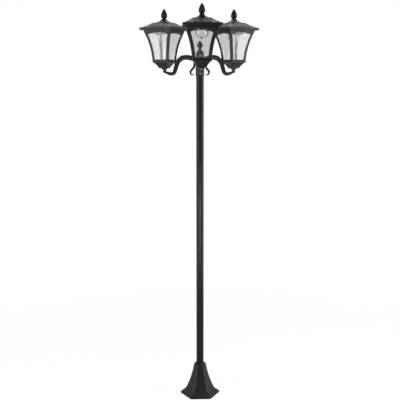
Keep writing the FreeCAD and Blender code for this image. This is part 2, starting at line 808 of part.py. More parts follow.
def make_panes():
    """Four clear panes behind the windows, standing on the cup's rim."""
    wide = across("frame_high_half")
    outer = "frame_wall + slide_gap"
    inner = outer + " + pane_thickness"
    hollow = frame_side("(%s)" % inner)
    hollow.append(("frame_high_half - (%s)" % inner, "%s + overcut" % CURVE_TOP))
    hollow.insert(0, ("frame_low_half - (%s)" % inner, "cup_height - overcut"))
    shell = cut("pane_shell", mitred("pane_outside", frame_side("(%s)" % outer), wide),
                mitred("pane_inside", hollow, wide))
    slots = []
    for turn in (SQUARE / 2, 3 * SQUARE / 2):
        slot = block("pane_slot_%d" % turn, ("-" + wide, wide), ("-pane_slot / 2", "pane_slot / 2"),
                     ("0", FRAME_TOP))
        swung = group("pane_slot_%d_turned" % turn, [slot])
        swung.Placement = Placement(Vector(), Rotation(UP, turn))
        slots.append(swung)
    return cut("pane_pattern", shell, *slots)


# ---------------------------------------------------------------- roof

SLOPE_RUN = "(%s - ledge_half)" % SLOPE_FOOT
SLOPE_LENGTH = "sqrt(%s * %s + slope_rise * slope_rise)" % (SLOPE_RUN, SLOPE_RUN)


def on_slope(along, above):
    """A point of the roof's slope in the XZ plane: along it from its foot, and above it."""
    return ("%s - (%s * %s - (%s) * slope_rise) / %s" % (SLOPE_FOOT, along, SLOPE_RUN, above, SLOPE_LENGTH),
            "%s + (%s * slope_rise + (%s) * %s) / %s" % (EAVE_TOP, along, above, SLOPE_RUN, SLOPE_LENGTH))


def slope_plates(label, start, end, low, high, width):
    """A plate lying on each of the four slopes."""
    sketch = standing_sketch(label + "_outline", [
        on_slope(start, low), on_slope(end, low), on_slope(end, high), on_slope(start, high)][::-1])
    return [slab("%s_%d" % (label, turn), sketch, width, turn) for turn in range(0, 4 * SQUARE, SQUARE)]


def make_panels():
    plates = slope_plates("panel", "panel_margin", "(panel_margin + panel_length)", "-panel_seat",
                          "panel_thickness - panel_seat", "panel_width")
    return group("panel_pattern", plates)


def make_roof():
    """Hollow two-step cap with a flat rim, a lip, a shallow seat for each panel and two screw bosses."""
    outside = [
        ("eave_half", EAVE_LOW), ("eave_half", EAVE_TOP), (SLOPE_FOOT, EAVE_TOP),
        ("ledge_half", LEDGE), ("step_half", STEP), ("step_half", CAP_LOW),
        ("cap_top_half", CAP_TOP, "cap_bow", -1)]
    inside = [
        (LIP_INSIDE, "%s - overcut" % EAVE_LOW), (LIP_INSIDE, RIM_UNDERSIDE), (SLOPE_FOOT, RIM_UNDERSIDE),
        ("ledge_half", "%s - roof_shell" % LEDGE), ("step_half - roof_shell", "%s - roof_shell" % STEP),
        ("cap_top_half", "%s - thread_length - roof_shell" % CAP_TOP)]
    width = across("eave_half")
    shell = mitred("roof_outside", outside, width)
    hollow = mitred("roof_inside", inside, width)

    def boss(label, x, y):
        return rod(label, "tray_boss / 2", TRAY_TOP, CAP_TOP,
                   "%d * screw_place" % x, "%d * screw_place" % y)

    def pilot(label, x, y):
        return rod(label, "tray_screw_diameter / 2 + seat_gap", "%s - overcut" % TRAY_TOP,
                   "%s + tray_screw_length + overcut" % TRAY_TOP, "%d * screw_place" % x, "%d * screw_place" % y)

    hollow = cut("roof_hollow", hollow, *opposite("roof_boss", boss))
    seats = slope_plates("panel_seat_cut", "(panel_margin - seat_gap)",
                         "(panel_margin + panel_length + seat_gap)", "-panel_seat",
                         "panel_seat + panel_thickness", "panel_width + 2 * seat_gap")
    thread = rod("roof_thread", "thread_radius + seat_gap", "%s - thread_length - overcut" % CAP_TOP,
                 "%s + overcut" % CAP_TOP)
    return cut("roof_pattern", shell, hollow, thread, *(seats + opposite("roof_pilot", pilot)))


def make_finial():
    """Round pointed bud with a threaded stem."""
    body = new_body("finial_pattern")
    stem_end = "%s - thread_length" % CAP_TOP
    revolve(body, "finial_bud", [
        ("0", stem_end), ("thread_radius", stem_end), ("thread_radius", CAP_TOP),
        ("finial_low_radius", CAP_TOP),
        ("finial_radius", "%s + finial_swell" % CAP_TOP, "finial_radius", 1),
        ("finial_tip_radius", "%s + finial_height" % CAP_TOP, "finial_side_radius", 1),
        ("0", "%s + finial_height" % CAP_TOP)])
    return body


# ---------------------------------------------------------------- tray and what it carries

SKIRT_HALF = "(frame_high_half - frame_wall - skirt_play)"
BAY_HALF = "(battery_length / 2 + bay_play)"
BAY_HALF_WIDTH = "(battery_diameter / 2 + bay_play / 2)"
HINGE_Y = "(-battery_place - door_width / 2 - hinge_radius / 2)"
HINGE_Z = "(%s - slide_gap - hinge_radius)" % TRAY_LOW
DOOR_HALF = "(door_length / 2)"
SWITCH_REST = "(-switch_travel / 2)"


def square_ring(label, outer, wall, low, high):
    outside = block(label + "_outside", ("-" + outer, outer), ("-" + outer, outer), (low, high))
    inner = "(%s - %s)" % (outer, wall)
    inside = block(label + "_inside", ("-" + inner, inner), ("-" + inner, inner),
                   ("%s - overcut" % low, "%s + overcut" % high))
    return cut(label, outside, inside)


def make_tray():
    """Plate that closes the roof, with guide skirt, battery bay, hinge lugs, switch slot and screw holes."""
    half = "(%s - slide_gap)" % LIP_INSIDE
    plate = block("tray_plate", ("-" + half, half), ("-" + half, half), (TRAY_LOW, TRAY_TOP))
    skirt = square_ring("tray_skirt", SKIRT_HALF, "skirt_wall", "%s - skirt_depth" % TRAY_LOW, TRAY_LOW)
    wall_x = "(%s + bay_wall)" % BAY_HALF
    wall_y = "(%s + bay_wall)" % BAY_HALF_WIDTH
    bay = block("bay_outside", ("-" + wall_x, wall_x),
                ("-battery_place - " + wall_y, "-battery_place + " + wall_y),
                (TRAY_TOP, "%s + bay_height" % TRAY_TOP))
    bay_space = block("bay_inside", ("-" + BAY_HALF, BAY_HALF),
                      ("-battery_place - " + BAY_HALF_WIDTH, "-battery_place + " + BAY_HALF_WIDTH),
                      ("%s - overcut" % TRAY_LOW, "%s + bay_height + overcut" % TRAY_TOP))
    lug_near = "(%s + slide_gap)" % DOOR_HALF
    lug_far = "(%s + lug_thickness)" % lug_near
    lug_y = ("%s - lug_width / 2" % HINGE_Y, "%s + lug_width / 2" % HINGE_Y)
    lug_z = ("%s - lug_depth" % TRAY_LOW, TRAY_LOW)
    lugs = [block("lug_right", (lug_near, lug_far), lug_y, lug_z),
            block("lug_left", ("-" + lug_far, "-" + lug_near), lug_y, lug_z)]
    hinge_bore = lying_rod("hinge_bore", "hinge_pin_radius + hinge_pin_play", "-" + lug_far, lug_far,
                           HINGE_Y, HINGE_Z)
    slot_end = "(switch_travel / 2 + switch_stem / 2 + slide_gap)"
    slot_side = "(switch_stem / 2 + slide_gap)"
    slot = block("switch_slot", ("-" + slot_end, slot_end),
                 ("switch_place - " + slot_side, "switch_place + " + slot_side),
                 ("%s - overcut" % TRAY_LOW, "%s + overcut" % TRAY_TOP))

    def hole(label, x, y):
        return rod(label, "tray_screw_diameter / 2 + slide_gap", "%s - overcut" % TRAY_LOW,
                   "%s + overcut" % TRAY_TOP, "%d * screw_place" % x, "%d * screw_place" % y)

    solid = fuse("tray_blank", [plate, skirt, bay] + lugs)
    return cut("tray_pattern", solid, bay_space, hinge_bore, slot, *opposite("tray_hole", hole))


def make_tray_screws():
    def screw(label, x, y):
        at = ("%d * screw_place" % x, "%d * screw_place" % y)
        shank = rod(label + "_shank", "tray_screw_diameter / 2", TRAY_LOW,
                    "%s + tray_screw_length" % TRAY_TOP, *at)
        head = rod(label + "_head", "tray_screw_head / 2", "%s - tray_screw_head_height" % TRAY_LOW,
                   TRAY_LOW, *at)
        return fuse(label, [shank, head])

    return group("tray_screw_pattern", opposite("tray_screw", screw))


def make_board():
    board = rod("board_disc", "board_radius", "%s - board_thickness" % TRAY_LOW, TRAY_LOW)
    lamp = rod("board_lamp", "lamp_radius", "%s - board_thickness - lamp_height" % TRAY_LOW, TRAY_LOW)
    return fuse("board_pattern", [board, lamp])


def make_battery():
    return lying_rod("battery_pattern", "battery_diameter / 2", "-battery_length / 2", "battery_length / 2",
                     "-battery_place", "%s + battery_diameter / 2" % TRAY_LOW)


def make_door():
    """Door under the battery bay, with its hinge barrel and pin."""
    top = "(%s - slide_gap)" % TRAY_LOW
    leaf = block("door_leaf", ("-" + DOOR_HALF, DOOR_HALF), (HINGE_Y, "%s + door_width" % HINGE_Y),
                 ("%s - door_thickness" % top, top))
    barrel = lying_rod("door_barrel", "hinge_radius", "-" + DOOR_HALF, DOOR_HALF, HINGE_Y, HINGE_Z)
    pin_end = "(%s + slide_gap + lug_thickness)" % DOOR_HALF
    pin = lying_rod("door_pin", "hinge_pin_radius", "-" + pin_end, pin_end, HINGE_Y, HINGE_Z)
    return fuse("door_pattern", [leaf, barrel, pin])


def make_switch():
    """Slider that hangs through the tray's slot, held from above by its flange."""
    left = "(%s - switch_stem / 2)" % SWITCH_REST
    right = "(%s + switch_stem / 2)" % SWITCH_REST
    flange_low = "(%s + slide_gap)" % TRAY_TOP
    near, far = "switch_place - switch_stem / 2", "switch_place + switch_stem / 2"
    stem = block("switch_body", (left, right), (near, far), ("%s - switch_grip" % TRAY_LOW, flange_low))
    flange = block("switch_flange_plate", (left + " - switch_flange", right + " + switch_flange"),
                   (near + " - switch_flange", far + " + switch_flange"),
                   (flange_low, flange_low + " + switch_flange_height"))
    return fuse("switch_pattern", [stem, flange])


def make_globe():
    """Clear round glass with a neck against the tray."""
    body = new_body("globe_pattern")
    centre = "(%s - globe_drop)" % TRAY_LOW
    inner, throat = "(globe_radius - globe_wall)", "(globe_neck - globe_wall)"
    outer_join = "%s + sqrt(globe_radius * globe_radius - globe_neck * globe_neck)" % centre
    inner_join = "%s + sqrt(%s * %s - %s * %s)" % (centre, inner, inner, throat, throat)
    revolve(body, "globe_glass", [
        (throat, TRAY_LOW), (throat, inner_join), (inner, centre, inner, -1),
        ("0", "%s - %s" % (centre, inner), inner, -1),
        ("0", "%s - globe_radius" % centre), ("globe_radius", centre, "globe_radius", 1),
        ("globe_neck", outer_join, "globe_radius", 1), ("globe_neck", TRAY_LOW)])
    return body


# ---------------------------------------------------------------- assembly


def place_copy(label, pattern, direction, turn, lifted):
    """One of the three copies of a pattern, carried round the post to its lantern or arm."""
    copy = group(label, [pattern])
    copy.Placement = Placement(Vector(), Rotation(UP, turn))
    if lifted == "lantern":
        place(copy, "arm_reach * sin(%d deg)" % direction, "-arm_reach * cos(%d deg)" % direction,
              HEAD_BASE)
    else:
        place(copy, z=HEAD_BASE)
    return copy


nodes = [
    make_base_plate(), make_tube("post_bottom", 0, drilled=True), make_tube("post_middle", 1),
    make_tube("post_top", 2), make_coupler("coupler_lower", 1), make_coupler("coupler_upper", 2),
    make_post_screws(), make_base_cover(), make_hub(), make_hub_finial()]

arm = make_arm()
LANTERN = {
    "lock_nuts": make_nuts(), "cup": make_cup(), "lantern_frame": make_frame(), "panes": make_panes(),
    "roof": make_roof(), "solar_panels": make_panels(), "finial": make_finial(), "roof_tray": make_tray(),
    "tray_screws": make_tray_screws(), "led_board": make_board(), "battery": make_battery(),
    "battery_door": make_door(), "switch_knob": make_switch(), "globe": make_globe()}
for side, direction in (("front", 0), ("left", -ARM_STEP), ("right", ARM_STEP)):
    nodes.append(place_copy(side + "_arm", arm, direction, direction - SQUARE, "arm"))
    for name, pattern in LANTERN.items():
        nodes.append(place_copy("%s_%s" % (side, name), pattern, direction, direction, "lantern"))

doc.recompute()
for thing in doc.Objects:
    if "Invalid" in thing.State or "Error" in thing.State:
        raise RuntimeError("%s did not rebuild: %s" % (thing.Label, thing.State))
for node in nodes:
    if node.Shape.isNull() or not node.Shape.isValid() or not node.Shape.Solids:
        raise RuntimeError("%s has no sound solid" % node.Label)

os.makedirs("parts", exist_ok=True)
for node in nodes:
    node.Shape.exportStep("parts/%s.step" % node.Label)
print("%d nodes" % len(nodes))
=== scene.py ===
"""Triple head lamp post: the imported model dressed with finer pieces, materials, light and a camera."""

import json
import math

import bmesh
import bpy
from mathutils import Matrix, Vector

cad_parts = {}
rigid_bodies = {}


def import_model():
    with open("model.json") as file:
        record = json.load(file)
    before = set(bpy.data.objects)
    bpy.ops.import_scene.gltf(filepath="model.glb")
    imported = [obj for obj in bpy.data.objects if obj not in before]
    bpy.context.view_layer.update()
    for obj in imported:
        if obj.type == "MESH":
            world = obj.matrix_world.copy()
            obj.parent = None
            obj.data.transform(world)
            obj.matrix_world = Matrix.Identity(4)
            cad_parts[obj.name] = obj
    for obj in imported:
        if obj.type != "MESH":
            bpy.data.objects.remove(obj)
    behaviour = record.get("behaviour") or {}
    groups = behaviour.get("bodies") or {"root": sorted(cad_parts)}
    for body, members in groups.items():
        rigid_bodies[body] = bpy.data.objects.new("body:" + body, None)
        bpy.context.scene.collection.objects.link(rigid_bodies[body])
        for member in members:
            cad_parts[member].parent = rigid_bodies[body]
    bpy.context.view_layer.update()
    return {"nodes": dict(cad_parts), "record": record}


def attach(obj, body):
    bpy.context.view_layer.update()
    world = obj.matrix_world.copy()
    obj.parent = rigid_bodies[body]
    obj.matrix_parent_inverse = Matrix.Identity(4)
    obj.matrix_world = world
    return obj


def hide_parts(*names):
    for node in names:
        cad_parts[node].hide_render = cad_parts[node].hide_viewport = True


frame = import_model()

MM = 0.001
SIDES = (("front", 0), ("left", -120), ("right", 120))
QUARTERS = [math.pi / 2 * quarter for quarter in range(4)]

# ---------------------------------------------------------------- shared sizes, in millimetres
# A half is a half width across the flats; each piece's own sizes stand with the piece.

REACH = 186.5                 # from the post's axis to a lantern's axis
HEAD_BASE = 1554.0            # the foot of each cup; heights in a lantern and its arm count from here
COLLAR_LOW = 1522.5           # the hub's lower edge; the hub's heights count from here
PLATE_TOP, TUBE_LENGTH = 4.0, 516.5
TUBE_RADIUS, TUBE_BORE = 17.5, 16.0
CUP_TOP, CURVE_TOP, FRAME_TOP = 36.5, 172.5, 184.5
FRAME_LOW_HALF, FRAME_HIGH_HALF, FRAME_BOW, FRAME_WALL = 40.5, 69.0, 420.0, 3.0
SILL, SPRING, CROWN, BAR, WINDOW_BOW = 45.5, 157.5, 168.5, 11.5, 420.0
EAVE_LOW, EAVE_TOP, LEDGE, STEP, CAP_LOW, CAP_TOP = 178.5, 190.0, 212.7, 214.2, 215.7, 230.0
EAVE_HALF, SLOPE_HALF, LEDGE_HALF, STEP_HALF, CAP_HALF = 84.0, 77.0, 36.5, 25.0, 9.0
TRAY_LOW = 184.8

# ---------------------------------------------------------------- outlines

STRAIGHT = math.radians(170)  # corners flatter than this are not rounded
SIDE_SHARE = 0.45             # the part of a side that one rounded corner may take
HALF_SHARE = 0.96             # the part of a half width that a rounded corner may take
CORNER_STEPS = 3
AXIS_RADIUS = 0.01            # what a ring on the axis gets as its radius


def arc(start, end, radius, side, steps=12):
    """Points of an arc from start to end, both left out; side 1 has the centre on the left of the way."""
    (x0, y0), (x1, y1) = start, end
    length = math.hypot(x1 - x0, y1 - y0)
    rise = side * math.sqrt(radius * radius - length * length / 4)
    cx = (x0 + x1) / 2 - (y1 - y0) / length * rise
    cy = (y0 + y1) / 2 + (x1 - x0) / length * rise
    first = math.atan2(y0 - cy, x0 - cx)
    turn = math.atan2(y1 - cy, x1 - cx) - first
    turn = (turn + math.pi) % (2 * math.pi) - math.pi
    angles = [first + turn * k / steps for k in range(1, steps)]
    return [(cx + radius * math.cos(angle), cy + radius * math.sin(angle)) for angle in angles]


def outline(points, soft, closed=False):
    """A path through (x, y) or (x, y, radius, side) points with its corners rounded."""
    path, given = [], []
    for point in points:
        if len(point) == 4:
            path += arc(path[-1], point[:2], point[2], point[3])
        given.append(len(path))
        path.append(tuple(point[:2]))
    if not closed:
        given = given[1:-1]
    result = []
    for index, here in enumerate(path):
        spot = Vector(here)
        one = Vector(path[index - 1]) - spot
        two = Vector(path[(index + 1) % len(path)]) - spot
        if index not in given or one.angle(two) > STRAIGHT:
            result.append(here)
            continue
        reach = min(soft / math.tan(one.angle(two) / 2), one.length * SIDE_SHARE, two.length * SIDE_SHARE)
        first, last = spot + one.normalized() * reach, spot + two.normalized() * reach
        for step in range(CORNER_STEPS + 1):
            t = step / CORNER_STEPS
            result.append(tuple(first.lerp(spot, t).lerp(spot.lerp(last, t), t)))
    return result


def polygon(half, z, sides, soft, steps=4, turn=0.0):
    """Rounded regular polygon at a height, from half its width across the flats."""
    points = []
    soft = min(soft, half * HALF_SHARE)
    centre = (half - soft) / math.cos(math.pi / sides)
    for side in range(sides):
        start = turn + 2 * math.pi * side / sides
        middle = start + math.pi / sides
        for step in range(steps + 1):
            angle = start + 2 * math.pi / sides * step / steps
            points.append(Vector((centre * math.cos(middle) + soft * math.cos(angle),
                                  centre * math.sin(middle) + soft * math.sin(angle), z)))
    return points


def rounded_rectangle(a, b, z, soft):
    """Rectangle with rounded corners from its half sizes."""
    points = []
    soft = min(soft, a * HALF_SHARE, b * HALF_SHARE)
    for number, (sx, sy) in enumerate(((1, 1), (-1, 1), (-1, -1), (1, -1))):
        for step in range(CORNER_STEPS + 1):
            angle = math.pi / 2 * (number + step / CORNER_STEPS)
            x = sx * (a - soft) + soft * math.cos(angle)
            y = sy * (b - soft) + soft * math.sin(angle)
            points.append(Vector((x, y, z)))
    return points


def circle(radius, z, steps):
    """Points round a circle at a height."""
    radius = max(radius, AXIS_RADIUS)
    angles = [2 * math.pi * k / steps for k in range(steps)]
    return [Vector((radius * math.cos(angle), radius * math.sin(angle), z)) for angle in angles]


def between(start, end, parts):
    """Points that divide the way from start to end, the end with them and the start left out."""
    return [tuple(Vector(start).lerp(Vector(end), k / parts)) for k in range(1, parts + 1)]


# ---------------------------------------------------------------- meshes

# Angles in degrees above which an edge is kept sharp, or bevelled.
SHARP, BEAD_SHARP, BEVEL_SHARP = 32, 80, 30


def finish_mesh(name, mesh_data, sharp=SHARP):
    """Turns a bmesh into an object, smooth but for edges sharper than the angle."""
    bmesh.ops.recalc_face_normals(mesh_data, faces=mesh_data.faces)
    limit = math.radians(sharp)
    for face in mesh_data.faces:
        face.smooth = True
    for edge in mesh_data.edges:
        if len(edge.link_faces) == 2 and edge.calc_face_angle(0) > limit:
            edge.smooth = False
    mesh = bpy.data.meshes.new(name)
    mesh_data.to_mesh(mesh)
    mesh_data.free()
    thing = bpy.data.objects.new(name, mesh)
    bpy.context.scene.collection.objects.link(thing)
    return thing


def add_loft(mesh_data, rings, loop=False):
    """Faces between rings with as many points each; loop joins the ends, which are capped otherwise."""
    rows = [[mesh_data.verts.new(point) for point in ring] for ring in rings]
    count = len(rows[0])
    pairs = list(zip(rows, rows[1:])) + ([(rows[-1], rows[0])] if loop else [])
    for low, high in pairs:
        for k in range(count):
            n = (k + 1) % count
            mesh_data.faces.new((low[k], low[n], high[n], high[k]))
    if not loop:
        mesh_data.faces.new(rows[0][::-1])
        mesh_data.faces.new(rows[-1])
    return rows


def loft(name, rings, loop=False):
    """An object lofted through rings."""
    mesh_data = bmesh.new()
    add_loft(mesh_data, rings, loop)
    return finish_mesh(name, mesh_data)


def prism(name, profile, sides, soft, loop=False, turn=0.0):
    """Loft of rounded polygons through (half width, height) points."""
    return loft(name, [polygon(half, z, sides, soft, turn=turn) for half, z in profile], loop)


def lathe(name, profile, steps, loop=False):
    """(radius, height) points turned about Z."""
    return loft(name, [circle(radius, z, steps) for radius, z in profile], loop)


def sweep(mesh_data, path, sizes, section):
    """A section swept along a path in the XZ plane; a size at each point scales it."""
    rings = []
    across = Vector((0, 1, 0))
    for index, point in enumerate(path):
        before, after = path[max(index - 1, 0)], path[min(index + 1, len(path) - 1)]
        along = Vector((after[0] - before[0], 0, after[1] - before[1])).normalized()
        up = along.cross(across)
        centre = Vector((point[0], 0, point[1]))
        rings.append([centre + across * (p.x * sizes[index]) + up * (p.y * sizes[index]) for p in section])
    add_loft(mesh_data, rings)


def ring_along(mesh_data, points, normals, width, height):
    """A closed, low, rounded bead along points on a surface, with the surface's normals."""
    rings = []
    angles = [2 * math.pi * k / 8 for k in range(8)]
    for index, point in enumerate(points):
        along = (points[(index + 1) % len(points)] - points[index - 1]).normalized()
        normal = normals[index]
        side = along.cross(normal).normalized()
        rings.append([point + side * (width / 2 * math.cos(angle)) + normal * (height * math.sin(angle))
                      for angle in angles])
    add_loft(mesh_data, rings, loop=True)


def moved(thing, direction=0, reach=0.0, height=0.0, swing=None):
    """Puts a piece made in millimetres in its place round the post; the numbers go into its mesh."""
    turn = math.radians(direction)
    swing = turn if swing is None else math.radians(swing)
    place = Matrix.Translation((reach * math.sin(turn), -reach * math.cos(turn), height))
    thing.data.transform(Matrix.Scale(MM, 4) @ place @ Matrix.Rotation(swing, 4, "Z"))
    return thing


def at_lantern(thing, direction):
    """Puts a piece made round a lantern's axis, over its cup's foot, on the lantern in a direction."""
    return moved(thing, direction, REACH, HEAD_BASE)


def bevelled(thing, width):
    """Rounds a piece's edges by a width in millimetres."""
    bevel = thing.modifiers.new("edges", "BEVEL")
    bevel.width = width * MM
    bevel.segments = 2
    bevel.limit_method = "ANGLE"
    bevel.angle_limit = math.radians(BEVEL_SHARP)
    bevel.harden_normals = True
    return thing


def dressed(thing, body, slot, *nodes):
    """Rides the piece on its body, gives it its slot's material and lets it stand for CAD nodes."""
    thing.data.materials.clear()
    thing.data.materials.append(MATERIALS[slot])
    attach(thing, body)
    if nodes:
        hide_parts(*nodes)
    normals = thing.modifiers.new("normals", "WEIGHTED_NORMAL")
    normals.keep_sharp = True
    return thing


# ---------------------------------------------------------------- materials

WEAR = 0.55                          # how much of the worn colour shows at the most
WORN_COLOUR = (0.10, 0.10, 0.105)


class Nodes:
    """Short ways to add and join shader nodes."""

    def __init__(self, name):
        self.material = bpy.data.materials.new(name)
        self.material.use_nodes = True
        self.tree = self.material.node_tree
        self.shader = self.tree.nodes["Principled BSDF"]
        self.output = self.tree.nodes["Material Output"]

    def add(self, kind, **values):
        node = self.tree.nodes.new(kind)
        for name, value in values.items():
            setattr(node, name, value)
        return node

    def join(self, source, target):
        self.tree.links.new(source, target)

    def give(self, **sockets):
        """Joins sockets to the shader's inputs of these names."""
        for name, socket in sockets.items():
            self.join(socket, self.shader.inputs[name.replace("_", " ")])

    def set(self, **values):
        """Sets the shader's inputs of these names."""
        for name, value in values.items():
            self.shader.inputs[name.replace("_", " ")].default_value = value

    def noise(self, scale, detail=3.0, roughness=0.5, coordinate="Object", stretch=None):
        """A noise texture in metres of the piece, or of its UV map."""
        where = self.add("ShaderNodeTexCoord").outputs[coordinate]
        if stretch is not None:
            mapping = self.add("ShaderNodeMapping")
            mapping.inputs["Scale"].default_value = stretch
            self.join(where, mapping.inputs["Vector"])
            where = mapping.outputs["Vector"]
        texture = self.add("ShaderNodeTexNoise")
        texture.inputs["Scale"].default_value = scale
        texture.inputs["Detail"].default_value = detail
        texture.inputs["Roughness"].default_value = roughness
        self.join(where, texture.inputs["Vector"])
        return texture.outputs["Fac"]

    def ramp(self, factor, stops):
        """Colours from pairs of a position and a colour."""
        node = self.add("ShaderNodeValToRGB")
        for element, (position, colour) in zip(node.color_ramp.elements, stops):
            element.position = position
            element.color = (*colour, 1)
        self.join(factor, node.inputs["Fac"])
        return node.outputs["Color"]

    def remap(self, factor, low, high, start=0.3, end=0.7):
        """Low to high where the factor goes from start to end."""
        node = self.add("ShaderNodeMapRange")
        for name, value in (("From Min", start), ("From Max", end), ("To Min", low), ("To Max", high)):
            node.inputs[name].default_value = value
        self.join(factor, node.inputs["Value"])
        return node.outputs["Result"]

    def math(self, operation, one, two=None):
        """One or two numbers or sockets through a math node."""
        node = self.add("ShaderNodeMath", operation=operation)
        for index, value in enumerate((one, two)):
            if value is None:
                continue
            if isinstance(value, (int, float)):
                node.inputs[index].default_value = value
            else:
                self.join(value, node.inputs[index])
        return node.outputs["Value"]

    def mix(self, factor, socket, colour):
        """From a colour socket to a set colour."""
        node = self.add("ShaderNodeMix", data_type="RGBA")
        self.join(factor, node.inputs["Factor"])
        self.join(socket, node.inputs[6])
        node.inputs[7].default_value = (*colour, 1)
        return node.outputs[2]

    def bump(self, heights):
        """Bumps from pairs of a height socket and a depth in metres, one after the other."""
        normal = None
        for height, depth in heights:
            node = self.add("ShaderNodeBump")
            node.inputs["Strength"].default_value = 1.0
            node.inputs["Distance"].default_value = depth
            self.join(height, node.inputs["Height"])
            if normal is not None:
                self.join(normal, node.inputs["Normal"])
            normal = node.outputs["Normal"]
        self.join(normal, self.shader.inputs["Normal"])


def paint(name, colour, roughness, grain, depth, specular=0.25):
    """Satin paint or moulded plastic: faint clouds in colour and gloss, worn edges and a fine grain."""
    nodes = Nodes(name)
    clouds = nodes.noise(9.0, 4.0)
    fine = nodes.noise(grain, 2.0, 0.6)
    lighter = tuple(c * 1.3 + 0.001 for c in colour)
    darker = tuple(c * 0.85 for c in colour)
    body = nodes.ramp(clouds, [(0.35, darker), (0.68, lighter)])
    edges = nodes.add("ShaderNodeNewGeometry").outputs["Pointiness"]
    worn = nodes.math("MULTIPLY", nodes.remap(edges, 0.0, 1.0, 0.56, 0.70),
                      nodes.remap(fine, 0.2, 1.0, 0.35, 0.65))
    nodes.give(Base_Color=nodes.mix(nodes.math("MULTIPLY", worn, WEAR), body, WORN_COLOUR),
               Roughness=nodes.remap(clouds, roughness * 0.88, roughness * 1.14))
    nodes.set(Specular_IOR_Level=specular)
    nodes.bump([(nodes.noise(grain * 0.16), depth * 2.2), (fine, depth)])
    return nodes.material


def see_through(nodes, tint):
    """Lets shadow and diffuse rays straight through a glass, as a thin sheet does."""
    path = nodes.add("ShaderNodeLightPath")
    clear = nodes.add("ShaderNodeBsdfTransparent")
    clear.inputs["Color"].default_value = (*tint, 1)
    mixed = nodes.add("ShaderNodeMixShader")
    passing = nodes.math("MAXIMUM", path.outputs["Is Shadow Ray"], path.outputs["Is Diffuse Ray"])
    nodes.join(passing, mixed.inputs["Fac"])
    nodes.join(nodes.shader.outputs["BSDF"], mixed.inputs[1])
    nodes.join(clear.outputs["BSDF"], mixed.inputs[2])
    nodes.join(mixed.outputs["Shader"], nodes.output.inputs["Surface"])


def glass(name, colour, roughness, wave, ior):
    """Clear sheet, slightly uneven, a little smeared in places."""
    nodes = Nodes(name)
    nodes.set(Base_Color=(*colour, 1), IOR=ior, Transmission_Weight=1.0)
    smears = nodes.noise(30.0, 4.0, stretch=(1, 1, 0.3))
    nodes.give(Roughness=nodes.remap(smears, roughness * 0.4, roughness * 1.9, 0.35))
    nodes.bump([(nodes.noise(22.0, 2.0), wave)])
    see_through(nodes, tuple(c * 0.98 for c in colour))
    return nodes.material


FINGER_PITCH, BUS_PITCH, CELL_WIDTH, CELL_LENGTH = 0.0016, 0.0091, 0.0182, 0.0187    # in metres
FINGER_WIDTH, BUS_WIDTH, GAP_WIDTH = 0.00012, 0.0006, 0.0009


def stripe(nodes, value, pitch, width):
    """1 on thin lines that repeat along a value."""
    share = nodes.math("FRACT", nodes.math("DIVIDE", value, pitch))
    away = nodes.math("ABSOLUTE", nodes.math("SUBTRACT", share, 0.5))
    return nodes.math("GREATER_THAN", away, 0.5 - width / pitch / 2)


def solar_cell(name):
    """Dark cells with thin silver fingers, bus bars and gaps under a textured cover."""
    nodes = Nodes(name)
    split = nodes.add("ShaderNodeSeparateXYZ")
    nodes.join(nodes.add("ShaderNodeTexCoord").outputs["UV"], split.inputs["Vector"])
    across, along = split.outputs["X"], split.outputs["Y"]
    fingers = nodes.math("MULTIPLY", stripe(nodes, along, FINGER_PITCH, FINGER_WIDTH), 0.35)
    bars = nodes.math("MULTIPLY", stripe(nodes, across, BUS_PITCH, BUS_WIDTH), 0.8)
    gaps = nodes.math("MAXIMUM", stripe(nodes, across, CELL_WIDTH, GAP_WIDTH),
                      stripe(nodes, along, CELL_LENGTH, GAP_WIDTH))
    cells = nodes.ramp(nodes.noise(70.0, 2.0, coordinate="UV"),
                       [(0.3, (0.005, 0.006, 0.012)), (0.7, (0.010, 0.011, 0.022))])
    lined = nodes.mix(nodes.math("MAXIMUM", fingers, bars), cells, (0.12, 0.125, 0.14))
    nodes.give(Base_Color=nodes.mix(gaps, lined, (0.045, 0.045, 0.05)),
               Roughness=nodes.remap(nodes.noise(40.0, coordinate="UV"), 0.20, 0.32))
    nodes.set(Specular_IOR_Level=0.03)
    nodes.bump([(nodes.noise(900.0, 1.0, coordinate="UV"), 0.00002)])
    return nodes.material


def steel(name):
    """Dull zinc-plated steel with faint streaks."""
    nodes = Nodes(name)
    streaks = nodes.noise(120.0, stretch=(1, 1, 8))
    nodes.give(Base_Color=nodes.ramp(streaks, [(0.3, (0.045, 0.045, 0.048)), (0.7, (0.085, 0.085, 0.088))]),
               Roughness=nodes.remap(streaks, 0.22, 0.42))
    nodes.set(Metallic=1.0)
    nodes.bump([(streaks, 0.00003)])
    return nodes.material


def plain(nodes, pattern, low, high, roughness, depth):
    """Two colours over a pattern, which also raises the surface."""
    nodes.give(Base_Color=nodes.ramp(pattern, [low, high]))
    nodes.set(Roughness=roughness)
    nodes.bump([(pattern, depth)])
    return nodes.material


def board(name):
    """White lacquered circuit board."""
    nodes = Nodes(name)
    return plain(nodes, nodes.noise(700.0, 1.0), (0.4, (0.75, 0.75, 0.72)), (0.62, (0.86, 0.86, 0.84)),
                 roughness=0.35, depth=0.00003)


def wrap(name):
    """A battery's blue plastic sleeve with faint folds."""
    nodes = Nodes(name)
    folds = nodes.noise(80.0, stretch=(1, 6, 1))
    return plain(nodes, folds, (0.3, (0.03, 0.12, 0.24)), (0.7, (0.05, 0.17, 0.32)),
                 roughness=0.28, depth=0.0001)


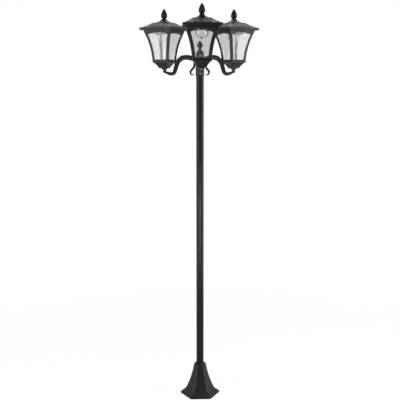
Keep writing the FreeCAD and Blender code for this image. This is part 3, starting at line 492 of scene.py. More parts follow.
MATERIALS = {
    "post_paint": paint("post_paint", (0.0040, 0.0044, 0.0062), roughness=0.22, grain=700.0, depth=0.000003,
                        specular=0.10),
    "cast_paint": paint("cast_paint", (0.0038, 0.0042, 0.0060), roughness=0.36, grain=380.0, depth=0.00002,
                        specular=0.18),
    "lantern_black": paint("lantern_black", (0.0036, 0.0038, 0.0058), roughness=0.40, grain=900.0,
                           depth=0.000006, specular=0.17),
    "tray_black": paint("tray_black", (0.012, 0.012, 0.0125), roughness=0.55, grain=500.0, depth=0.00006),
    "switch_grey": paint("switch_grey", (0.30, 0.30, 0.31), roughness=0.5, grain=500.0, depth=0.00004),
    "clear_pane": glass("clear_pane", (0.725, 0.727, 0.74), roughness=0.012, wave=0.000008, ior=1.3),
    "clear_globe": glass("clear_globe", (0.95, 0.952, 0.955), roughness=0.006, wave=0.00001, ior=1.47),
    "solar_cell": solar_cell("solar_cell"),
    "steel": steel("steel"),
    "circuit_board": board("circuit_board"),
    "battery_wrap": wrap("battery_wrap"),
}

SLOT_OF = {part["node"]: part["material_slot"] for part in frame["record"]["subparts"]}
for name, node in frame["nodes"].items():
    node.data.materials.clear()
    node.data.materials.append(MATERIALS[SLOT_OF[name]])

# ---------------------------------------------------------------- post

POST_TUBES = ("post_bottom", "post_middle", "post_top")
EDGE_RINGS = (0, 2, 4)        # rings at and near a tube's ends, which keep the wear of its edges there

for number, name in enumerate(POST_TUBES):
    low = PLATE_TOP + number * TUBE_LENGTH
    high = low + TUBE_LENGTH
    heights = [low + away for away in EDGE_RINGS] + [high - away for away in reversed(EDGE_RINGS)]
    wall = [(TUBE_BORE, low)] + [(TUBE_RADIUS, z) for z in heights] + [(TUBE_BORE, high)]
    tube = lathe(name + "_tube", outline(wall, soft=0.35, closed=True), steps=96, loop=True)
    dressed(moved(tube), "post", "post_paint", name)

# ---------------------------------------------------------------- base cover

FOOT_TURN = math.radians(30)
COVER_HALF, COVER_STEP, COVER_WAIST, COVER_NECK, COVER_BORE = 83.0, 63.0, 26.8, 20.0, 18.1
COVER_RIM, COVER_STEP_TOP, COVER_WAIST_TOP, COVER_TOP, COVER_FLARE = 7.0, 21.0, 147.0, 155.5, 440.0
COVER_WALL, COVER_ROOM = 3.0, 1.5      # how far the inside lies in from the outside, and how far under it

cover = outline([
    (COVER_HALF, 0), (COVER_HALF, COVER_RIM), (COVER_STEP, COVER_STEP_TOP),
    (COVER_WAIST, COVER_WAIST_TOP, COVER_FLARE, -1), (COVER_NECK, COVER_TOP), (COVER_BORE, COVER_TOP),
    (COVER_BORE, COVER_TOP - COVER_WALL), (COVER_WAIST - COVER_WALL, COVER_WAIST_TOP - COVER_ROOM),
    (COVER_STEP - COVER_WALL, COVER_STEP_TOP - COVER_ROOM, COVER_FLARE, 1),
    (COVER_HALF - COVER_WALL, COVER_RIM - COVER_ROOM), (COVER_HALF - COVER_WALL, 0)], soft=1.6, closed=True)
shell = prism("base_cover_shell", cover, sides=6, soft=11.0, loop=True, turn=FOOT_TURN)
dressed(moved(shell), "base_cover", "cast_paint", "base_cover")

# ---------------------------------------------------------------- hub

SOCKET_RADIUS, SOCKET_DEPTH = 17.6, 31.0
COLLAR_RADIUS, COLLAR_TOP = 19.8, 46.5
LIP_RADIUS, LIP_TOP = 20.6, 3.2
BAND_RADIUS, BAND_LOW, BAND_TOP = 20.5, 47.2, 50.2
DRUM_RADIUS, DRUM_LOW, DRUM_TOP = 22.0, 52.2, 85.5
BELL_SEAT, BELL_RADIUS, BELL_LOW = 18.9, 18.5, 89.5
BELL_WAIST, BELL_WAIST_TOP, BELL_SWELL = 14.5, 110.0, 37.0
BELL_TIP, BELL_TOP, BELL_HOLLOW = 6.0, 126.0, 22.2
BUD_SEAT, BUD_LOW, BUD_RIM, BUD_NECK = 7.2, 125.6, 7.6, 6.6
BUD_RADIUS, BUD_WIDEST, BUD_BELLY, BUD_POINT, BUD_TOP, BUD_TAPER = 14.0, 136.6, 13.0, 0.8, 159.0, 42.0
GRUB_RADIUS, GRUB_SOCKET, GRUB_PROUD, GRUB_SUNK, GRUB_HEIGHT, GRUB_REACH = 2.6, 1.3, 0.9, 0.1, 24.0, 19.9

hub = outline([
    (0, SOCKET_DEPTH), (SOCKET_RADIUS, SOCKET_DEPTH), (SOCKET_RADIUS, 0), (LIP_RADIUS, 0),
    (LIP_RADIUS, LIP_TOP), (COLLAR_RADIUS, LIP_TOP + 1), (COLLAR_RADIUS, COLLAR_TOP), (BAND_RADIUS, BAND_LOW),
    (BAND_RADIUS, BAND_TOP), (DRUM_RADIUS, DRUM_LOW), (DRUM_RADIUS, DRUM_TOP), (BELL_SEAT, DRUM_TOP + 2),
    (BELL_RADIUS, BELL_LOW), (BELL_WAIST, BELL_WAIST_TOP, BELL_SWELL, 1),
    (BELL_TIP, BELL_TOP, BELL_HOLLOW, -1), (0, BELL_TOP)], soft=0.7)
dressed(moved(lathe("hub_casting", hub, steps=96), height=COLLAR_LOW), "post", "cast_paint", "hub")

bud = outline([
    (0, BUD_LOW), (BUD_SEAT, BUD_LOW), (BUD_RIM, BUD_LOW + 1.6), (BUD_NECK, BUD_LOW + 2.8),
    (BUD_RADIUS, BUD_WIDEST, BUD_BELLY, 1), (BUD_POINT, BUD_TOP, BUD_TAPER, 1), (0, BUD_TOP)], soft=0.5)
dressed(moved(lathe("hub_bud", bud, steps=64), height=COLLAR_LOW), "post", "cast_paint", "hub_finial")

grub = outline([(0, -1), (GRUB_RADIUS, -1), (GRUB_RADIUS, GRUB_PROUD), (GRUB_SOCKET, GRUB_PROUD),
                (GRUB_SOCKET, GRUB_SUNK), (0, GRUB_SUNK)], soft=0.25)
for number in range(3):
    screw = lathe("collar_screw_%d" % number, grub, steps=24)
    screw.data.transform(Matrix.Rotation(math.radians(60 + 120 * number), 4, "Z")
                         @ Matrix.Translation((0, -GRUB_REACH, GRUB_HEIGHT))
                         @ Matrix.Rotation(math.pi / 2, 4, "X"))
    dressed(moved(screw, height=COLLAR_LOW), "post", "steel")

# ---------------------------------------------------------------- arms

ARM_ROOT, ARCH_TOP, ARM_END = (19.0, 40.5), (74.0, 55.0), (REACH, -10.0)
ARCH_RADIUS, VALLEY_RADIUS, RISE_RADIUS = 50.0, 20.5, 45.0
FALL_ANGLE, RISE_ANGLE = math.radians(72), math.radians(18)
ARM_WIDTHS = (21.5, 21.8, 15.5, 9.0)                              # at the root, crest, valley and end
SCROLL_REACH, SCROLL_DROP, SCROLL_BEND, SCROLL_RUN, SCROLL_CURL = 29.0, 21.0, 18.0, 16.7, 11.0
SCROLL_SLANT, SCROLL_TURN, CURL_STEPS = math.radians(45), math.radians(160), 16
SCROLL_WIDTHS = ((0, 9.5), (0.45, 10.8), (0.68, 10.2), (1, 5.2))  # at shares of its length
BOSS_RADIUS, BOSS_LOW, BOSS_TOP, STUD_TOP = 8.0, -13.5, -4.5, 15.5
FLANGE_RINGS = (0, 2.9, 4.0, 4.8)                                 # steps outward, times FLANGE_DEPTH
FLANGE_RADIUS, FLANGE_TAPER, FLANGE_DEPTH, FLANGE_WIDE, FLANGE_TALL = 22.6, 0.9, 0.55, 0.62, 0.55
THREAD_RADIUS, THREAD_ROOT, THREAD_TURNS, STUD_TIP = 3.95, 3.45, 18, 3.2
NUT_BORE, NUT_FACE, NUT_HALF, NUT_HEIGHT, NUT_CHAMFER, NUT_CORNER = 4.1, 7.4, 8.5, 4.5, 0.8, 1.0
NUT_ROUND = 0.9                       # the rounding of its bore and faces, as a share of their half width
NUT_LEVELS = (BOSS_TOP, 10.0)


def arm_line():
    """The arm's centre line, with the numbers of its points at the crest and in the valley."""
    turns = ARCH_RADIUS + VALLEY_RADIUS
    rise_out, rise_up = RISE_RADIUS * math.sin(RISE_ANGLE), RISE_RADIUS * (1 - math.cos(RISE_ANGLE))
    span = ARM_END[0] - ARCH_TOP[0] - turns * math.sin(FALL_ANGLE) - rise_out
    drop = (ARCH_TOP[1] - ARM_END[1] - turns * (1 - math.cos(FALL_ANGLE)) + rise_up
            + span * math.tan(RISE_ANGLE))
    fall = drop / (math.sin(FALL_ANGLE) + math.cos(FALL_ANGLE) * math.tan(RISE_ANGLE))
    run, rise = ARCH_TOP[0] - ARM_ROOT[0], ARCH_TOP[1] - ARM_ROOT[1]
    root_radius = (run * run + rise * rise) / (2 * rise)
    arch_end = (ARCH_TOP[0] + ARCH_RADIUS * math.sin(FALL_ANGLE),
                ARCH_TOP[1] - ARCH_RADIUS * (1 - math.cos(FALL_ANGLE)))
    fall_end = (arch_end[0] + fall * math.cos(FALL_ANGLE), arch_end[1] - fall * math.sin(FALL_ANGLE))
    valley = (fall_end[0] + VALLEY_RADIUS * math.sin(FALL_ANGLE),
              fall_end[1] - VALLEY_RADIUS * (1 - math.cos(FALL_ANGLE)))
    rise_end = (valley[0] + rise_out, valley[1] + rise_up)
    points = [ARM_ROOT] + arc(ARM_ROOT, ARCH_TOP, root_radius, -1, steps=10) + [ARCH_TOP]
    crest = len(points) - 1
    points += arc(ARCH_TOP, arch_end, ARCH_RADIUS, -1, steps=14) + [arch_end]
    points += between(arch_end, fall_end, parts=4)
    points += arc(fall_end, valley, VALLEY_RADIUS, 1, steps=10) + [valley]
    low = len(points) - 1
    points += arc(valley, rise_end, RISE_RADIUS, 1, steps=6) + [rise_end]
    points += between(rise_end, ARM_END, parts=3)
    return points, crest, low


def distances(path):
    """How far along a path each of its points lies."""
    total = [0.0]
    for one, two in zip(path, path[1:]):
        total.append(total[-1] + math.hypot(two[0] - one[0], two[1] - one[1]))
    return total


def blended(total, stations):
    """Sizes along a path from pairs of distance and size, eased between them."""
    sizes = []
    for distance in total:
        for (near, small), (far, large) in zip(stations, stations[1:]):
            if distance <= far or far == stations[-1][0]:
                t = min(max((distance - near) / (far - near), 0), 1)
                sizes.append(small + (large - small) * (t * t * (3 - 2 * t) * 0.5 + t * 0.5))
                break
    return sizes


def scroll_line():
    """Centre line of the scroll: down, out at a slant and back in a curl."""
    reach, top = SCROLL_REACH, ARM_ROOT[1]
    sine, cosine = math.sin(SCROLL_SLANT), math.cos(SCROLL_SLANT)
    bend_start = (reach, top - SCROLL_DROP)
    bend_end = (reach + SCROLL_BEND * (1 - cosine), bend_start[1] - SCROLL_BEND * sine)
    run_end = (bend_end[0] + SCROLL_RUN * sine, bend_end[1] - SCROLL_RUN * cosine)
    centre = (run_end[0] - SCROLL_CURL * cosine, run_end[1] - SCROLL_CURL * sine)
    points = [(reach, top), (reach, top - SCROLL_DROP / 2), bend_start]
    points += arc(bend_start, bend_end, SCROLL_BEND, 1, steps=6) + [bend_end]
    points += between(bend_end, run_end, parts=4)
    for k in range(1, CURL_STEPS + 1):
        turn = SCROLL_SLANT - SCROLL_TURN * k / CURL_STEPS
        points.append((centre[0] + SCROLL_CURL * math.cos(turn), centre[1] + SCROLL_CURL * math.sin(turn)))
    return points


def rounded_end(path, sizes, steps=5):
    """Adds a half-round end to a sweep."""
    (x0, z0), (x1, z1) = path[-2], path[-1]
    length = math.hypot(x1 - x0, z1 - z0)
    ux, uz = (x1 - x0) / length, (z1 - z0) / length
    last = sizes[-1]
    for k in range(1, steps + 1):
        angle = math.pi / 2 * k / steps
        path.append((x1 + ux * last / 2 * math.sin(angle), z1 + uz * last / 2 * math.sin(angle)))
        sizes.append(max(last * math.cos(angle), last * 0.03))


def arm_casting(name):
    """The arm with its flange, boss and scroll, running out along X."""
    mesh_data = bmesh.new()
    path, crest, low = arm_line()
    total = distances(path)
    stations = (0, total[crest], total[low], total[-1])
    hexagon = polygon(0.5, 0, sides=6, soft=0.09, steps=3, turn=FOOT_TURN)
    sweep(mesh_data, path, blended(total, list(zip(stations, ARM_WIDTHS))), hexagon)
    path = scroll_line()
    total = distances(path)
    sizes = blended(total, [(total[-1] * share, width) for share, width in SCROLL_WIDTHS])
    rounded_end(path, sizes)
    sweep(mesh_data, path, sizes, circle(0.5, 0, steps=24))
    boss = outline([(0, BOSS_LOW), (BOSS_RADIUS, BOSS_LOW), (BOSS_RADIUS, BOSS_TOP), (0, BOSS_TOP)], soft=1.2)
    add_loft(mesh_data, [[p + Vector((REACH, 0, 0)) for p in circle(r, z, steps=40)] for r, z in boss])
    flange = []
    for out in FLANGE_RINGS:
        x = ARM_ROOT[0] + out * FLANGE_DEPTH
        ring = circle(FLANGE_RADIUS - out * FLANGE_TAPER, 0, steps=48)
        flange.append([Vector((x, p.x * FLANGE_WIDE, ARM_ROOT[1] + p.y * FLANGE_TALL)) for p in ring])
    add_loft(mesh_data, flange)
    return finish_mesh(name, mesh_data)


def stud(name):
    """The threaded stud on the arm's end."""
    start = BOSS_TOP - 1
    profile = [(0, start)]
    for k in range(THREAD_TURNS + 1):
        z = start + (STUD_TOP - BOSS_TOP) * k / THREAD_TURNS
        profile += [(THREAD_RADIUS, z), (THREAD_ROOT, z + 0.5)]
    return lathe(name, profile + [(STUD_TIP, STUD_TOP), (0, STUD_TOP)], steps=24)


def nuts(name):
    """The two lock nuts on a stud."""
    mesh_data = bmesh.new()
    for low in NUT_LEVELS:
        high = low + NUT_HEIGHT
        profile = [(NUT_BORE, low), (NUT_FACE, low), (NUT_HALF, low + NUT_CHAMFER),
                   (NUT_HALF, high - NUT_CHAMFER), (NUT_FACE, high), (NUT_BORE, high)]
        rings = [polygon(half, z, sides=6, soft=NUT_CORNER if half == NUT_HALF else half * NUT_ROUND)
                 for half, z in profile]
        add_loft(mesh_data, rings, loop=True)
    return finish_mesh(name, mesh_data)


for side, direction in SIDES:
    dressed(moved(arm_casting(side + "_arm_casting"), direction, 0, HEAD_BASE, direction - 90),
            "post", "cast_paint", side + "_arm")
    dressed(at_lantern(stud(side + "_stud"), direction), "post", "steel")
    dressed(at_lantern(nuts(side + "_nuts"), direction), "post", "steel", side + "_lock_nuts")

# ---------------------------------------------------------------- lantern frame

BEAD_AWAY, BEAD_WIDTH, BEAD_HEIGHT = 1.9, 1.8, 0.8
FRAME_EDGE = 0.8
BAR_ROWS, HEAD_ROWS, HALF_COLUMNS = 20, 5, 12
BEAD_HALF_STEPS, ARCH_HALF_STEPS = 6, 8


def frame_half(z):
    """Half width of the lantern's concave outline at a height."""
    rise, run = CURVE_TOP - CUP_TOP, FRAME_HIGH_HALF - FRAME_LOW_HALF
    chord = math.hypot(rise, run)
    back = math.sqrt(FRAME_BOW ** 2 - chord ** 2 / 4)
    centre_x = (FRAME_LOW_HALF + FRAME_HIGH_HALF) / 2 + back * rise / chord
    centre_z = (CUP_TOP + CURVE_TOP) / 2 - back * run / chord
    if z >= CURVE_TOP:
        return FRAME_HIGH_HALF
    return centre_x - math.sqrt(FRAME_BOW ** 2 - (z - centre_z) ** 2)


WINDOW_LOW, WINDOW_HIGH = frame_half(SILL) - BAR, frame_half(SPRING) - BAR
ARCH_TURN = (WINDOW_HIGH ** 2 + (CROWN - SPRING) ** 2) / (2 * (CROWN - SPRING))
COLUMNS = [k / HALF_COLUMNS for k in range(-HALF_COLUMNS, HALF_COLUMNS + 1)]
BAR_HEIGHTS = [SILL + (SPRING - SILL) * k / BAR_ROWS for k in range(BAR_ROWS + 1)]


def window_half(z):
    """Half width of the window at a height between its sill and the spring of its arch."""
    t = (z - SILL) / (SPRING - SILL)
    bow = (SPRING - SILL) ** 2 / (8 * WINDOW_BOW)
    return WINDOW_LOW + (WINDOW_HIGH - WINDOW_LOW) * t - 4 * bow * t * (1 - t)


def arch_height(y):
    """Height of the window's arched top at a distance from its middle."""
    return CROWN - ARCH_TURN + math.sqrt(ARCH_TURN ** 2 - y * y)


def wall_point(y, z, inset):
    """A point of the wall that faces X, no farther out than the wall's own corners."""
    half = frame_half(z) - inset
    return Vector((half, max(-half, min(half, y)), z))


def wall_rows(inset):
    """Points of one wall, row by row, for its bottom rail, its two bars and its head."""
    rail, bars, head = [], [], []
    for z in (CUP_TOP, (CUP_TOP + SILL) / 2, SILL):
        half = frame_half(z) - inset
        row = [-half] + [c * WINDOW_LOW for c in COLUMNS] + [half]
        rail.append([wall_point(y, z, inset) for y in row])
    for z in BAR_HEIGHTS:
        half, window = frame_half(z) - inset, window_half(z)
        bars.append([wall_point(y, z, inset) for y in (-half, -window, window, half)])
    for k in range(HEAD_ROWS + 1):
        t = k / HEAD_ROWS
        row = []
        for c in COLUMNS:
            low = arch_height(c * WINDOW_HIGH)
            row.append((c * WINDOW_HIGH, low + (FRAME_TOP - low) * t))
        side_z = SPRING + (FRAME_TOP - SPRING) * t
        half = frame_half(side_z) - inset
        row = [(-half, side_z)] + row + [(half, side_z)]
        head.append([wall_point(y, z, inset) for y, z in row])
    return rail, bars, head


def quads(mesh_data, cache, rows):
    """Faces between rows of points, sharing vertices at the same place."""
    def vertex(point):
        key = tuple(round(c, 4) for c in point)
        if key not in cache:
            cache[key] = mesh_data.verts.new(point)
        return cache[key]

    for low, high in zip(rows, rows[1:]):
        for k in range(len(low) - 1):
            corners = []
            for point in (low[k], low[k + 1], high[k + 1], high[k]):
                spot = vertex(point)
                if spot not in corners:
                    corners.append(spot)
            if len(corners) > 2 and mesh_data.faces.get(corners) is None:
                mesh_data.faces.new(corners)


def frame_wall(mesh_data, cache, turn):
    """One wall with its window; the cache holds the corner points that it shares with its neighbours."""
    spin = Matrix.Rotation(turn, 3, "Z")
    skins = []
    for inset in (0.0, FRAME_WALL):
        rail, bars, head = [[[spin @ p for p in row] for row in part] for part in wall_rows(inset)]
        quads(mesh_data, cache, rail)
        quads(mesh_data, cache, [row[:2] for row in bars])
        quads(mesh_data, cache, [row[2:] for row in bars])
        quads(mesh_data, cache, head)
        skins.append((rail, bars, head))
    (rail, bars, head), (inner_rail, inner_bars, inner_head) = skins
    quads(mesh_data, cache, [rail[0], inner_rail[0]])
    quads(mesh_data, cache, [head[-1], inner_head[-1]])
    quads(mesh_data, cache, [rail[-1][1:-1], inner_rail[-1][1:-1]])
    quads(mesh_data, cache, [head[0][1:-1], inner_head[0][1:-1]])
    for edge in (1, 2):
        quads(mesh_data, cache, [[row[edge] for row in bars], [row[edge] for row in inner_bars]])


def lantern_frame(name):
    """Four walls with their windows in one piece."""
    mesh_data, cache = bmesh.new(), {}
    for turn in QUARTERS:
        frame_wall(mesh_data, cache, turn)
    return finish_mesh(name, mesh_data)


def window_beads(name):
    """A raised bead round each window, a little outside its edge."""
    away = BEAD_AWAY
    sill = [((WINDOW_LOW + away) * (k / BEAD_HALF_STEPS - 1), SILL - away)
            for k in range(2 * BEAD_HALF_STEPS + 1)]
    right = [(window_half(z) + away, z) for z in BAR_HEIGHTS[1:-1]]
    left = [(-y, z) for y, z in reversed(right)]
    arch = []
    for k in range(2 * ARCH_HALF_STEPS + 1):
        share = 1 - k / ARCH_HALF_STEPS
        arch.append(((WINDOW_HIGH + away) * share, arch_height(WINDOW_HIGH * share) + away))
    spots = sill + right + arch + left
    mesh_data = bmesh.new()
    for turn in QUARTERS:
        spin = Matrix.Rotation(turn, 3, "Z")
        normals = []
        for y, z in spots:
            slope = (frame_half(z + 1) - frame_half(z - 1)) / 2
            normals.append((spin @ Vector((1, 0, -slope))).normalized())
        points = [spin @ wall_point(y, z, 0) for y, z in spots]
        ring_along(mesh_data, points, normals, BEAD_WIDTH, BEAD_HEIGHT)
    return finish_mesh(name, mesh_data, BEAD_SHARP)


# ---------------------------------------------------------------- cup, frame and trim

CUP_BORE, CUP_FOOT, CUP_SHOULDER, CUP_LEDGE, CUP_WALL = 4.3, 8.5, 12.2, 20.5, 3.0
CUP_LEDGE_LOW, CUP_LEDGE_TOP, CUP_FLOOR, CUP_RIM, CUP_INNER_RIM, CUP_BOW = 6.5, 9.5, 10.0, 33.5, 35.0, 57.0
CUP_INNER = FRAME_LOW_HALF - CUP_WALL
cup = outline([
    (CUP_BORE, 0), (CUP_FOOT, 0), (CUP_SHOULDER, CUP_LEDGE_LOW), (CUP_LEDGE, CUP_LEDGE_LOW),
    (CUP_LEDGE, CUP_LEDGE_TOP), (FRAME_LOW_HALF, CUP_RIM, CUP_BOW, -1), (FRAME_LOW_HALF, CUP_TOP),
    (CUP_INNER, CUP_TOP), (CUP_INNER, CUP_INNER_RIM), (CUP_LEDGE - CUP_WALL, CUP_FLOOR, CUP_BOW, 1),
    (CUP_BORE, CUP_FLOOR)], soft=0.9, closed=True)

EAVE_TRIM_INNER, EAVE_TRIM_OUTER, EAVE_TRIM_UPPER = 68.2, 70.4, 69.4
EAVE_TRIM_LOW, EAVE_TRIM_EDGE, EAVE_TRIM_STEP, EAVE_TRIM_TOP = 176.4, 180.0, 181.5, 184.4
eave_trim = outline([
    (EAVE_TRIM_INNER, EAVE_TRIM_LOW), (EAVE_TRIM_OUTER, EAVE_TRIM_LOW), (EAVE_TRIM_OUTER, EAVE_TRIM_EDGE),
    (EAVE_TRIM_UPPER, EAVE_TRIM_STEP), (EAVE_TRIM_UPPER, EAVE_TRIM_TOP), (EAVE_TRIM_INNER, EAVE_TRIM_TOP)],
    soft=0.5, closed=True)

FOOT_TRIM_INNER, FOOT_TRIM_OUTER, FOOT_TRIM_UPPER = 39.5, 41.6, 40.9
FOOT_TRIM_LOW, FOOT_TRIM_EDGE, FOOT_TRIM_TOP = 35.2, 38.2, 39.2
foot_trim = outline([
    (FOOT_TRIM_INNER, FOOT_TRIM_LOW), (FOOT_TRIM_OUTER, FOOT_TRIM_LOW), (FOOT_TRIM_OUTER, FOOT_TRIM_EDGE),
    (FOOT_TRIM_UPPER, FOOT_TRIM_TOP), (FOOT_TRIM_INNER, FOOT_TRIM_TOP)], soft=0.5, closed=True)

for side, direction in SIDES:
    shell = prism(side + "_cup_shell", cup, sides=4, soft=2.2, loop=True)
    dressed(at_lantern(shell, direction), "post", "lantern_black", side + "_cup")
    walls = bevelled(lantern_frame(side + "_frame"), FRAME_EDGE)
    dressed(at_lantern(walls, direction), "post", "lantern_black", side + "_lantern_frame")
    dressed(at_lantern(window_beads(side + "_window_beads"), direction), "post", "lantern_black")
    for name, profile in (("_frame_band", eave_trim), ("_frame_foot", foot_trim)):
        trim = prism(side + name, profile, sides=4, soft=1.6, loop=True)
        dressed(at_lantern(trim, direction), "post", "lantern_black")

# ---------------------------------------------------------------- roof

ROOF_WALL, EAVE_WALL, EAVE_CEILING, CAP_CEILING, CAP_HOLLOW = 3.4, 3.5, 186.7, 217.6, 26.0
EAVE_INNER = EAVE_HALF - EAVE_WALL
roof = outline([
    (CAP_HALF, CAP_CEILING), (STEP_HALF - ROOF_WALL, STEP - ROOF_WALL), (LEDGE_HALF, LEDGE - ROOF_WALL),
    (SLOPE_HALF, EAVE_CEILING), (EAVE_INNER, EAVE_CEILING), (EAVE_INNER, EAVE_LOW), (EAVE_HALF, EAVE_LOW),
    (EAVE_HALF, EAVE_TOP), (SLOPE_HALF, EAVE_TOP), (LEDGE_HALF, LEDGE), (STEP_HALF, STEP),
    (STEP_HALF, CAP_LOW), (CAP_HALF, CAP_TOP, CAP_HOLLOW, -1)], soft=0.8)

PANEL_MARGIN, PANEL_LENGTH, PANEL_WIDTH, PANEL_PROUD, PANEL_SUNK = 4.2, 38.5, 74.0, 0.4, 1.6
PANEL_EDGE, PANEL_CORNER, RIM_CORNER = 0.3, 1.2, 1.4
# How far each edge of a plate's rim lies outward of the plate and off the slope.
PANEL_RIM = ((0, -0.4), (0, 0.7), (0.4, 1.1), (1.2, 1.1), (1.8, 0.5), (1.9, -0.4))


def on_slope(turn):
    """Where a plate lies on the slope in a direction: X along the eave, Y up the slope and Z off it."""
    tilt = math.atan2(LEDGE - EAVE_TOP, SLOPE_HALF - LEDGE_HALF)
    return (Matrix.Rotation(turn, 4, "Z") @ Matrix.Translation((0, -SLOPE_HALF, EAVE_TOP))
            @ Matrix.Rotation(tilt, 4, "X") @ Matrix.Translation((0, PANEL_MARGIN + PANEL_LENGTH / 2, 0)))


def solar_plates(name):
    """The four solar plates with their cells' own coordinates, in metres."""
    mesh_data = bmesh.new()
    cells = mesh_data.loops.layers.uv.new("UVMap")
    a, b = PANEL_WIDTH / 2, PANEL_LENGTH / 2
    profile = [(a, b, -PANEL_SUNK), (a, b, PANEL_PROUD - PANEL_EDGE),
               (a - PANEL_EDGE, b - PANEL_EDGE, PANEL_PROUD)]
    for turn in QUARTERS:
        rows = add_loft(mesh_data, [rounded_rectangle(p, q, z, PANEL_CORNER) for p, q, z in profile])
        points = {vertex: vertex.co.copy() for row in rows for vertex in row}
        for face in {face for vertex in points for face in vertex.link_faces}:
            for corner in face.loops:
                spot = points[corner.vert]
                corner[cells].uv = ((spot.x + a) * MM, (spot.y + b) * MM)
        place = on_slope(turn)
        for vertex in points:
            vertex.co = place @ vertex.co
    return finish_mesh(name, mesh_data)


def panel_rims(name):
    """A low frame round each plate."""
    mesh_data = bmesh.new()
    a, b = PANEL_WIDTH / 2, PANEL_LENGTH / 2
    rings = [rounded_rectangle(a + out, b + out, z, RIM_CORNER) for out, z in PANEL_RIM]
    for turn in QUARTERS:
        place = on_slope(turn)
        add_loft(mesh_data, [[place @ point for point in ring] for ring in rings], loop=True)
    return finish_mesh(name, mesh_data)


# ---------------------------------------------------------------- globe, lamp and bud

GLOBE_CENTRE, GLOBE_RADIUS, GLOBE_WALL, GLOBE_NECK, GLOBE_STEPS = 155.3, 28.5, 1.8, 19.0, 24
BOARD_RADIUS, BOARD_LOW, LAMP_BASE, LAMP_NECK, LAMP_RADIUS, LAMP_DOME = 16.0, 183.2, 4.6, 4.2, 2.5, 2.6
LAMP_STEP, LAMP_SEAT, LAMP_SIDE, LAMP_TIP = 181.8, 181.6, 180.4, 178.2
PLUG_TOP_RADIUS, PLUG_LOW_RADIUS, PLUG_TOP, PLUG_SIDE, PLUG_LOW = 2.4, 2.6, 128.4, 126.5, 126.2
FINIAL_SEAT, FINIAL_RIM, FINIAL_NECK, FINIAL_RADIUS, FINIAL_POINT = 9.8, 10.2, 8.8, 14.8, 1.2
FINIAL_WIDEST, FINIAL_TOP, FINIAL_BELLY, FINIAL_TAPER = CAP_TOP + 14.5, CAP_TOP + 46.0, 15.0, 62.0


def globe_profile():
    """Closed section of the glass: down its inside and back up its outside."""
    inner, throat = GLOBE_RADIUS - GLOBE_WALL, GLOBE_NECK - GLOBE_WALL
    points = [(throat, TRAY_LOW)]
    first = math.asin(throat / inner)
    for k in range(GLOBE_STEPS + 1):
        angle = first + (math.pi - first) * k / GLOBE_STEPS
        points.append((inner * math.sin(angle), GLOBE_CENTRE + inner * math.cos(angle)))
    first = math.asin(GLOBE_NECK / GLOBE_RADIUS)
    for k in range(GLOBE_STEPS + 1):
        angle = math.pi - (math.pi - first) * k / GLOBE_STEPS
        points.append((GLOBE_RADIUS * math.sin(angle), GLOBE_CENTRE + GLOBE_RADIUS * math.cos(angle)))
    return points + [(GLOBE_NECK, TRAY_LOW)]


lamp = outline([
    (0, TRAY_LOW), (BOARD_RADIUS, TRAY_LOW), (BOARD_RADIUS, BOARD_LOW), (LAMP_BASE, BOARD_LOW),
    (LAMP_NECK, LAMP_STEP), (LAMP_RADIUS, LAMP_SEAT), (LAMP_RADIUS, LAMP_SIDE),
    (0, LAMP_TIP, LAMP_DOME, -1)], soft=0.2)
plug = outline([
    (0, PLUG_TOP), (PLUG_TOP_RADIUS, PLUG_TOP), (PLUG_LOW_RADIUS, PLUG_SIDE), (0, PLUG_LOW)], soft=0.4)
finial = outline([
    (0, CAP_TOP - 1), (FINIAL_SEAT, CAP_TOP - 0.6), (FINIAL_RIM, CAP_TOP + 1.2), (FINIAL_NECK, CAP_TOP + 2.6),
    (FINIAL_RADIUS, FINIAL_WIDEST, FINIAL_BELLY, 1), (FINIAL_POINT, FINIAL_TOP, FINIAL_TAPER, 1),
    (0, FINIAL_TOP)], soft=0.5)

for side, direction in SIDES:
    pieces = (
        (prism(side + "_roof_shell", roof, sides=4, soft=1.8), "lantern_black", [side + "_roof"]),
        (solar_plates(side + "_solar_plates"), "solar_cell", [side + "_solar_panels"]),
        (panel_rims(side + "_panel_rims"), "lantern_black", []),
        (lathe(side + "_finial_bud", finial, steps=64), "lantern_black", [side + "_finial"]),
        (lathe(side + "_glass_globe", globe_profile(), steps=72, loop=True),
         "clear_globe", [side + "_globe"]),
        (lathe(side + "_lamp_board", lamp, steps=48), "circuit_board", [side + "_led_board"]),
        (lathe(side + "_globe_plug", plug, steps=24), "tray_black", []))
    for thing, slot, nodes in pieces:
        dressed(at_lantern(thing, direction), side + "_roof_unit", slot, *nodes)

# ---------------------------------------------------------------- camera

# Metres and degrees.
CAMERA_DISTANCE, CAMERA_AZIMUTH, CAMERA_HEIGHT, CAMERA_PITCH = 3.4, -2.55, 1.510, 9.32
FOCAL_PIXELS, FRAME_PIXELS, SENSOR, CLIP_END = 735.9, 400, 36.0, 60

scene = bpy.context.scene
camera_data = bpy.data.cameras.new("camera")
camera_data.sensor_width = SENSOR
camera_data.lens = SENSOR * FOCAL_PIXELS / FRAME_PIXELS
camera_data.clip_end = CLIP_END
camera = bpy.data.objects.new("camera", camera_data)
azimuth = math.radians(CAMERA_AZIMUTH)
camera.location = (CAMERA_DISTANCE * math.sin(azimuth), -CAMERA_DISTANCE * math.cos(azimuth), CAMERA_HEIGHT)
camera.rotation_euler = (math.radians(90 - CAMERA_PITCH), 0, azimuth)
scene.collection.objects.link(camera)
scene.camera = camera

# ---------------------------------------------------------------- world and floor

SEEN = ("Is Camera Ray", "Is Glossy Ray", "Is Transmission Ray")
WORLD_COLOUR, WORLD_STRENGTH = (0.97, 0.985, 1.0, 1), 0.25
FLOOR_RADIUS, FLOOR_DEPTH, FLOOR_STEPS = 9000, 0.5, 96
# Distances from the post, in metres, between which the floor turns wholly white, and its whiteness nearer.
SHADOW_NEAR, SHADOW_FAR, NEAR_WHITE = 0.4, 2.0, 0.92


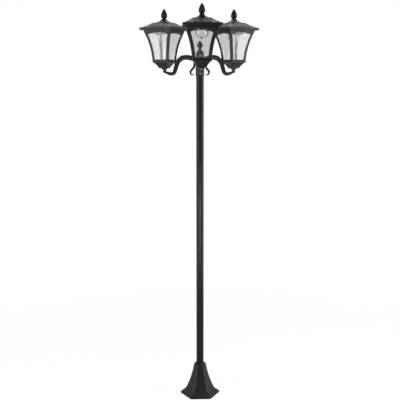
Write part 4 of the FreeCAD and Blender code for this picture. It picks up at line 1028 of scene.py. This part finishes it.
def any_of(node_tree, names):
    """1 for rays of any of the kinds named."""
    path = node_tree.nodes.new("ShaderNodeLightPath")
    result = path.outputs[names[0]]
    for name in names[1:]:
        node = node_tree.nodes.new("ShaderNodeMath")
        node.operation = "MAXIMUM"
        node_tree.links.new(result, node.inputs[0])
        node_tree.links.new(path.outputs[name], node.inputs[1])
        result = node.outputs["Value"]
    return result


scene.view_settings.view_transform = "Standard"
world = bpy.data.worlds.new("studio")
scene.world = world
world.use_nodes = True
tree = world.node_tree
background = tree.nodes["Background"]
background.inputs["Color"].default_value = WORLD_COLOUR
background.inputs["Strength"].default_value = WORLD_STRENGTH
white = tree.nodes.new("ShaderNodeBackground")
white.inputs["Color"].default_value = (1, 1, 1, 1)
choice = tree.nodes.new("ShaderNodeMixShader")
tree.links.new(any_of(tree, SEEN), choice.inputs["Fac"])
tree.links.new(background.outputs["Background"], choice.inputs[1])
tree.links.new(white.outputs["Background"], choice.inputs[2])
tree.links.new(choice.outputs["Shader"], tree.nodes["World Output"].inputs["Surface"])

floor = moved(loft("floor", [circle(FLOOR_RADIUS, z, FLOOR_STEPS) for z in (-FLOOR_DEPTH, 0)]))
ground = Nodes("floor")
ground.give(Base_Color=ground.ramp(ground.noise(3.0, 4.0),
                                   [(0.3, (0.92, 0.92, 0.92)), (0.7, (0.95, 0.95, 0.95))]))
ground.set(Roughness=0.8, Specular_IOR_Level=0.1)
bright = ground.add("ShaderNodeEmission")
bright.inputs["Strength"].default_value = 1.0
blend = ground.add("ShaderNodeMixShader")
away = ground.add("ShaderNodeVectorMath", operation="LENGTH")
ground.join(ground.add("ShaderNodeTexCoord").outputs["Object"], away.inputs[0])
whiteness = ground.remap(away.outputs["Value"], NEAR_WHITE, 1.0, SHADOW_NEAR, SHADOW_FAR)
ground.join(ground.math("MULTIPLY", any_of(ground.tree, SEEN), whiteness), blend.inputs["Fac"])
ground.join(ground.shader.outputs["BSDF"], blend.inputs[1])
ground.join(bright.outputs["Emission"], blend.inputs[2])
ground.join(blend.outputs["Shader"], ground.output.inputs["Surface"])
floor.data.materials.append(ground.material)

# ---------------------------------------------------------------- lamps


def softbox(name, azimuth, distance, height, aim, size, radiance):
    """A rectangular lamp, aimed at a height on the post, as bright as its radiance says."""
    angle = math.radians(azimuth)
    spot = Vector((distance * math.sin(angle), -distance * math.cos(angle), height))
    light = bpy.data.lights.new(name, "AREA")
    light.shape = "RECTANGLE"
    light.size, light.size_y = size
    light.energy = radiance * math.pi * size[0] * size[1]
    thing = bpy.data.objects.new(name, light)
    thing.location = spot
    thing.rotation_euler = (Vector((0, 0, aim)) - spot).to_track_quat("-Z", "Y").to_euler()
    scene.collection.objects.link(thing)
    return thing


softbox("left_box", azimuth=-58, distance=1.9, height=1.12, aim=1.12, size=(0.9, 2.2), radiance=7.5)
softbox("right_box", azimuth=76, distance=1.9, height=1.12, aim=1.12, size=(1.0, 2.2), radiance=7.5)
softbox("top_box", azimuth=180, distance=1.8, height=4.2, aim=1.7, size=(3.4, 2.2), radiance=2.8)
glow = softbox("post_glow", azimuth=0, distance=2.0, height=0.47, aim=0.75, size=(1.1, 0.5), radiance=17.0)

# The glow falls on the post's tubes alone.
lit = bpy.data.collections.new("post_tubes")
for name in POST_TUBES:
    lit.objects.link(bpy.data.objects[name + "_tube"])
glow.light_linking.receiver_collection = lit
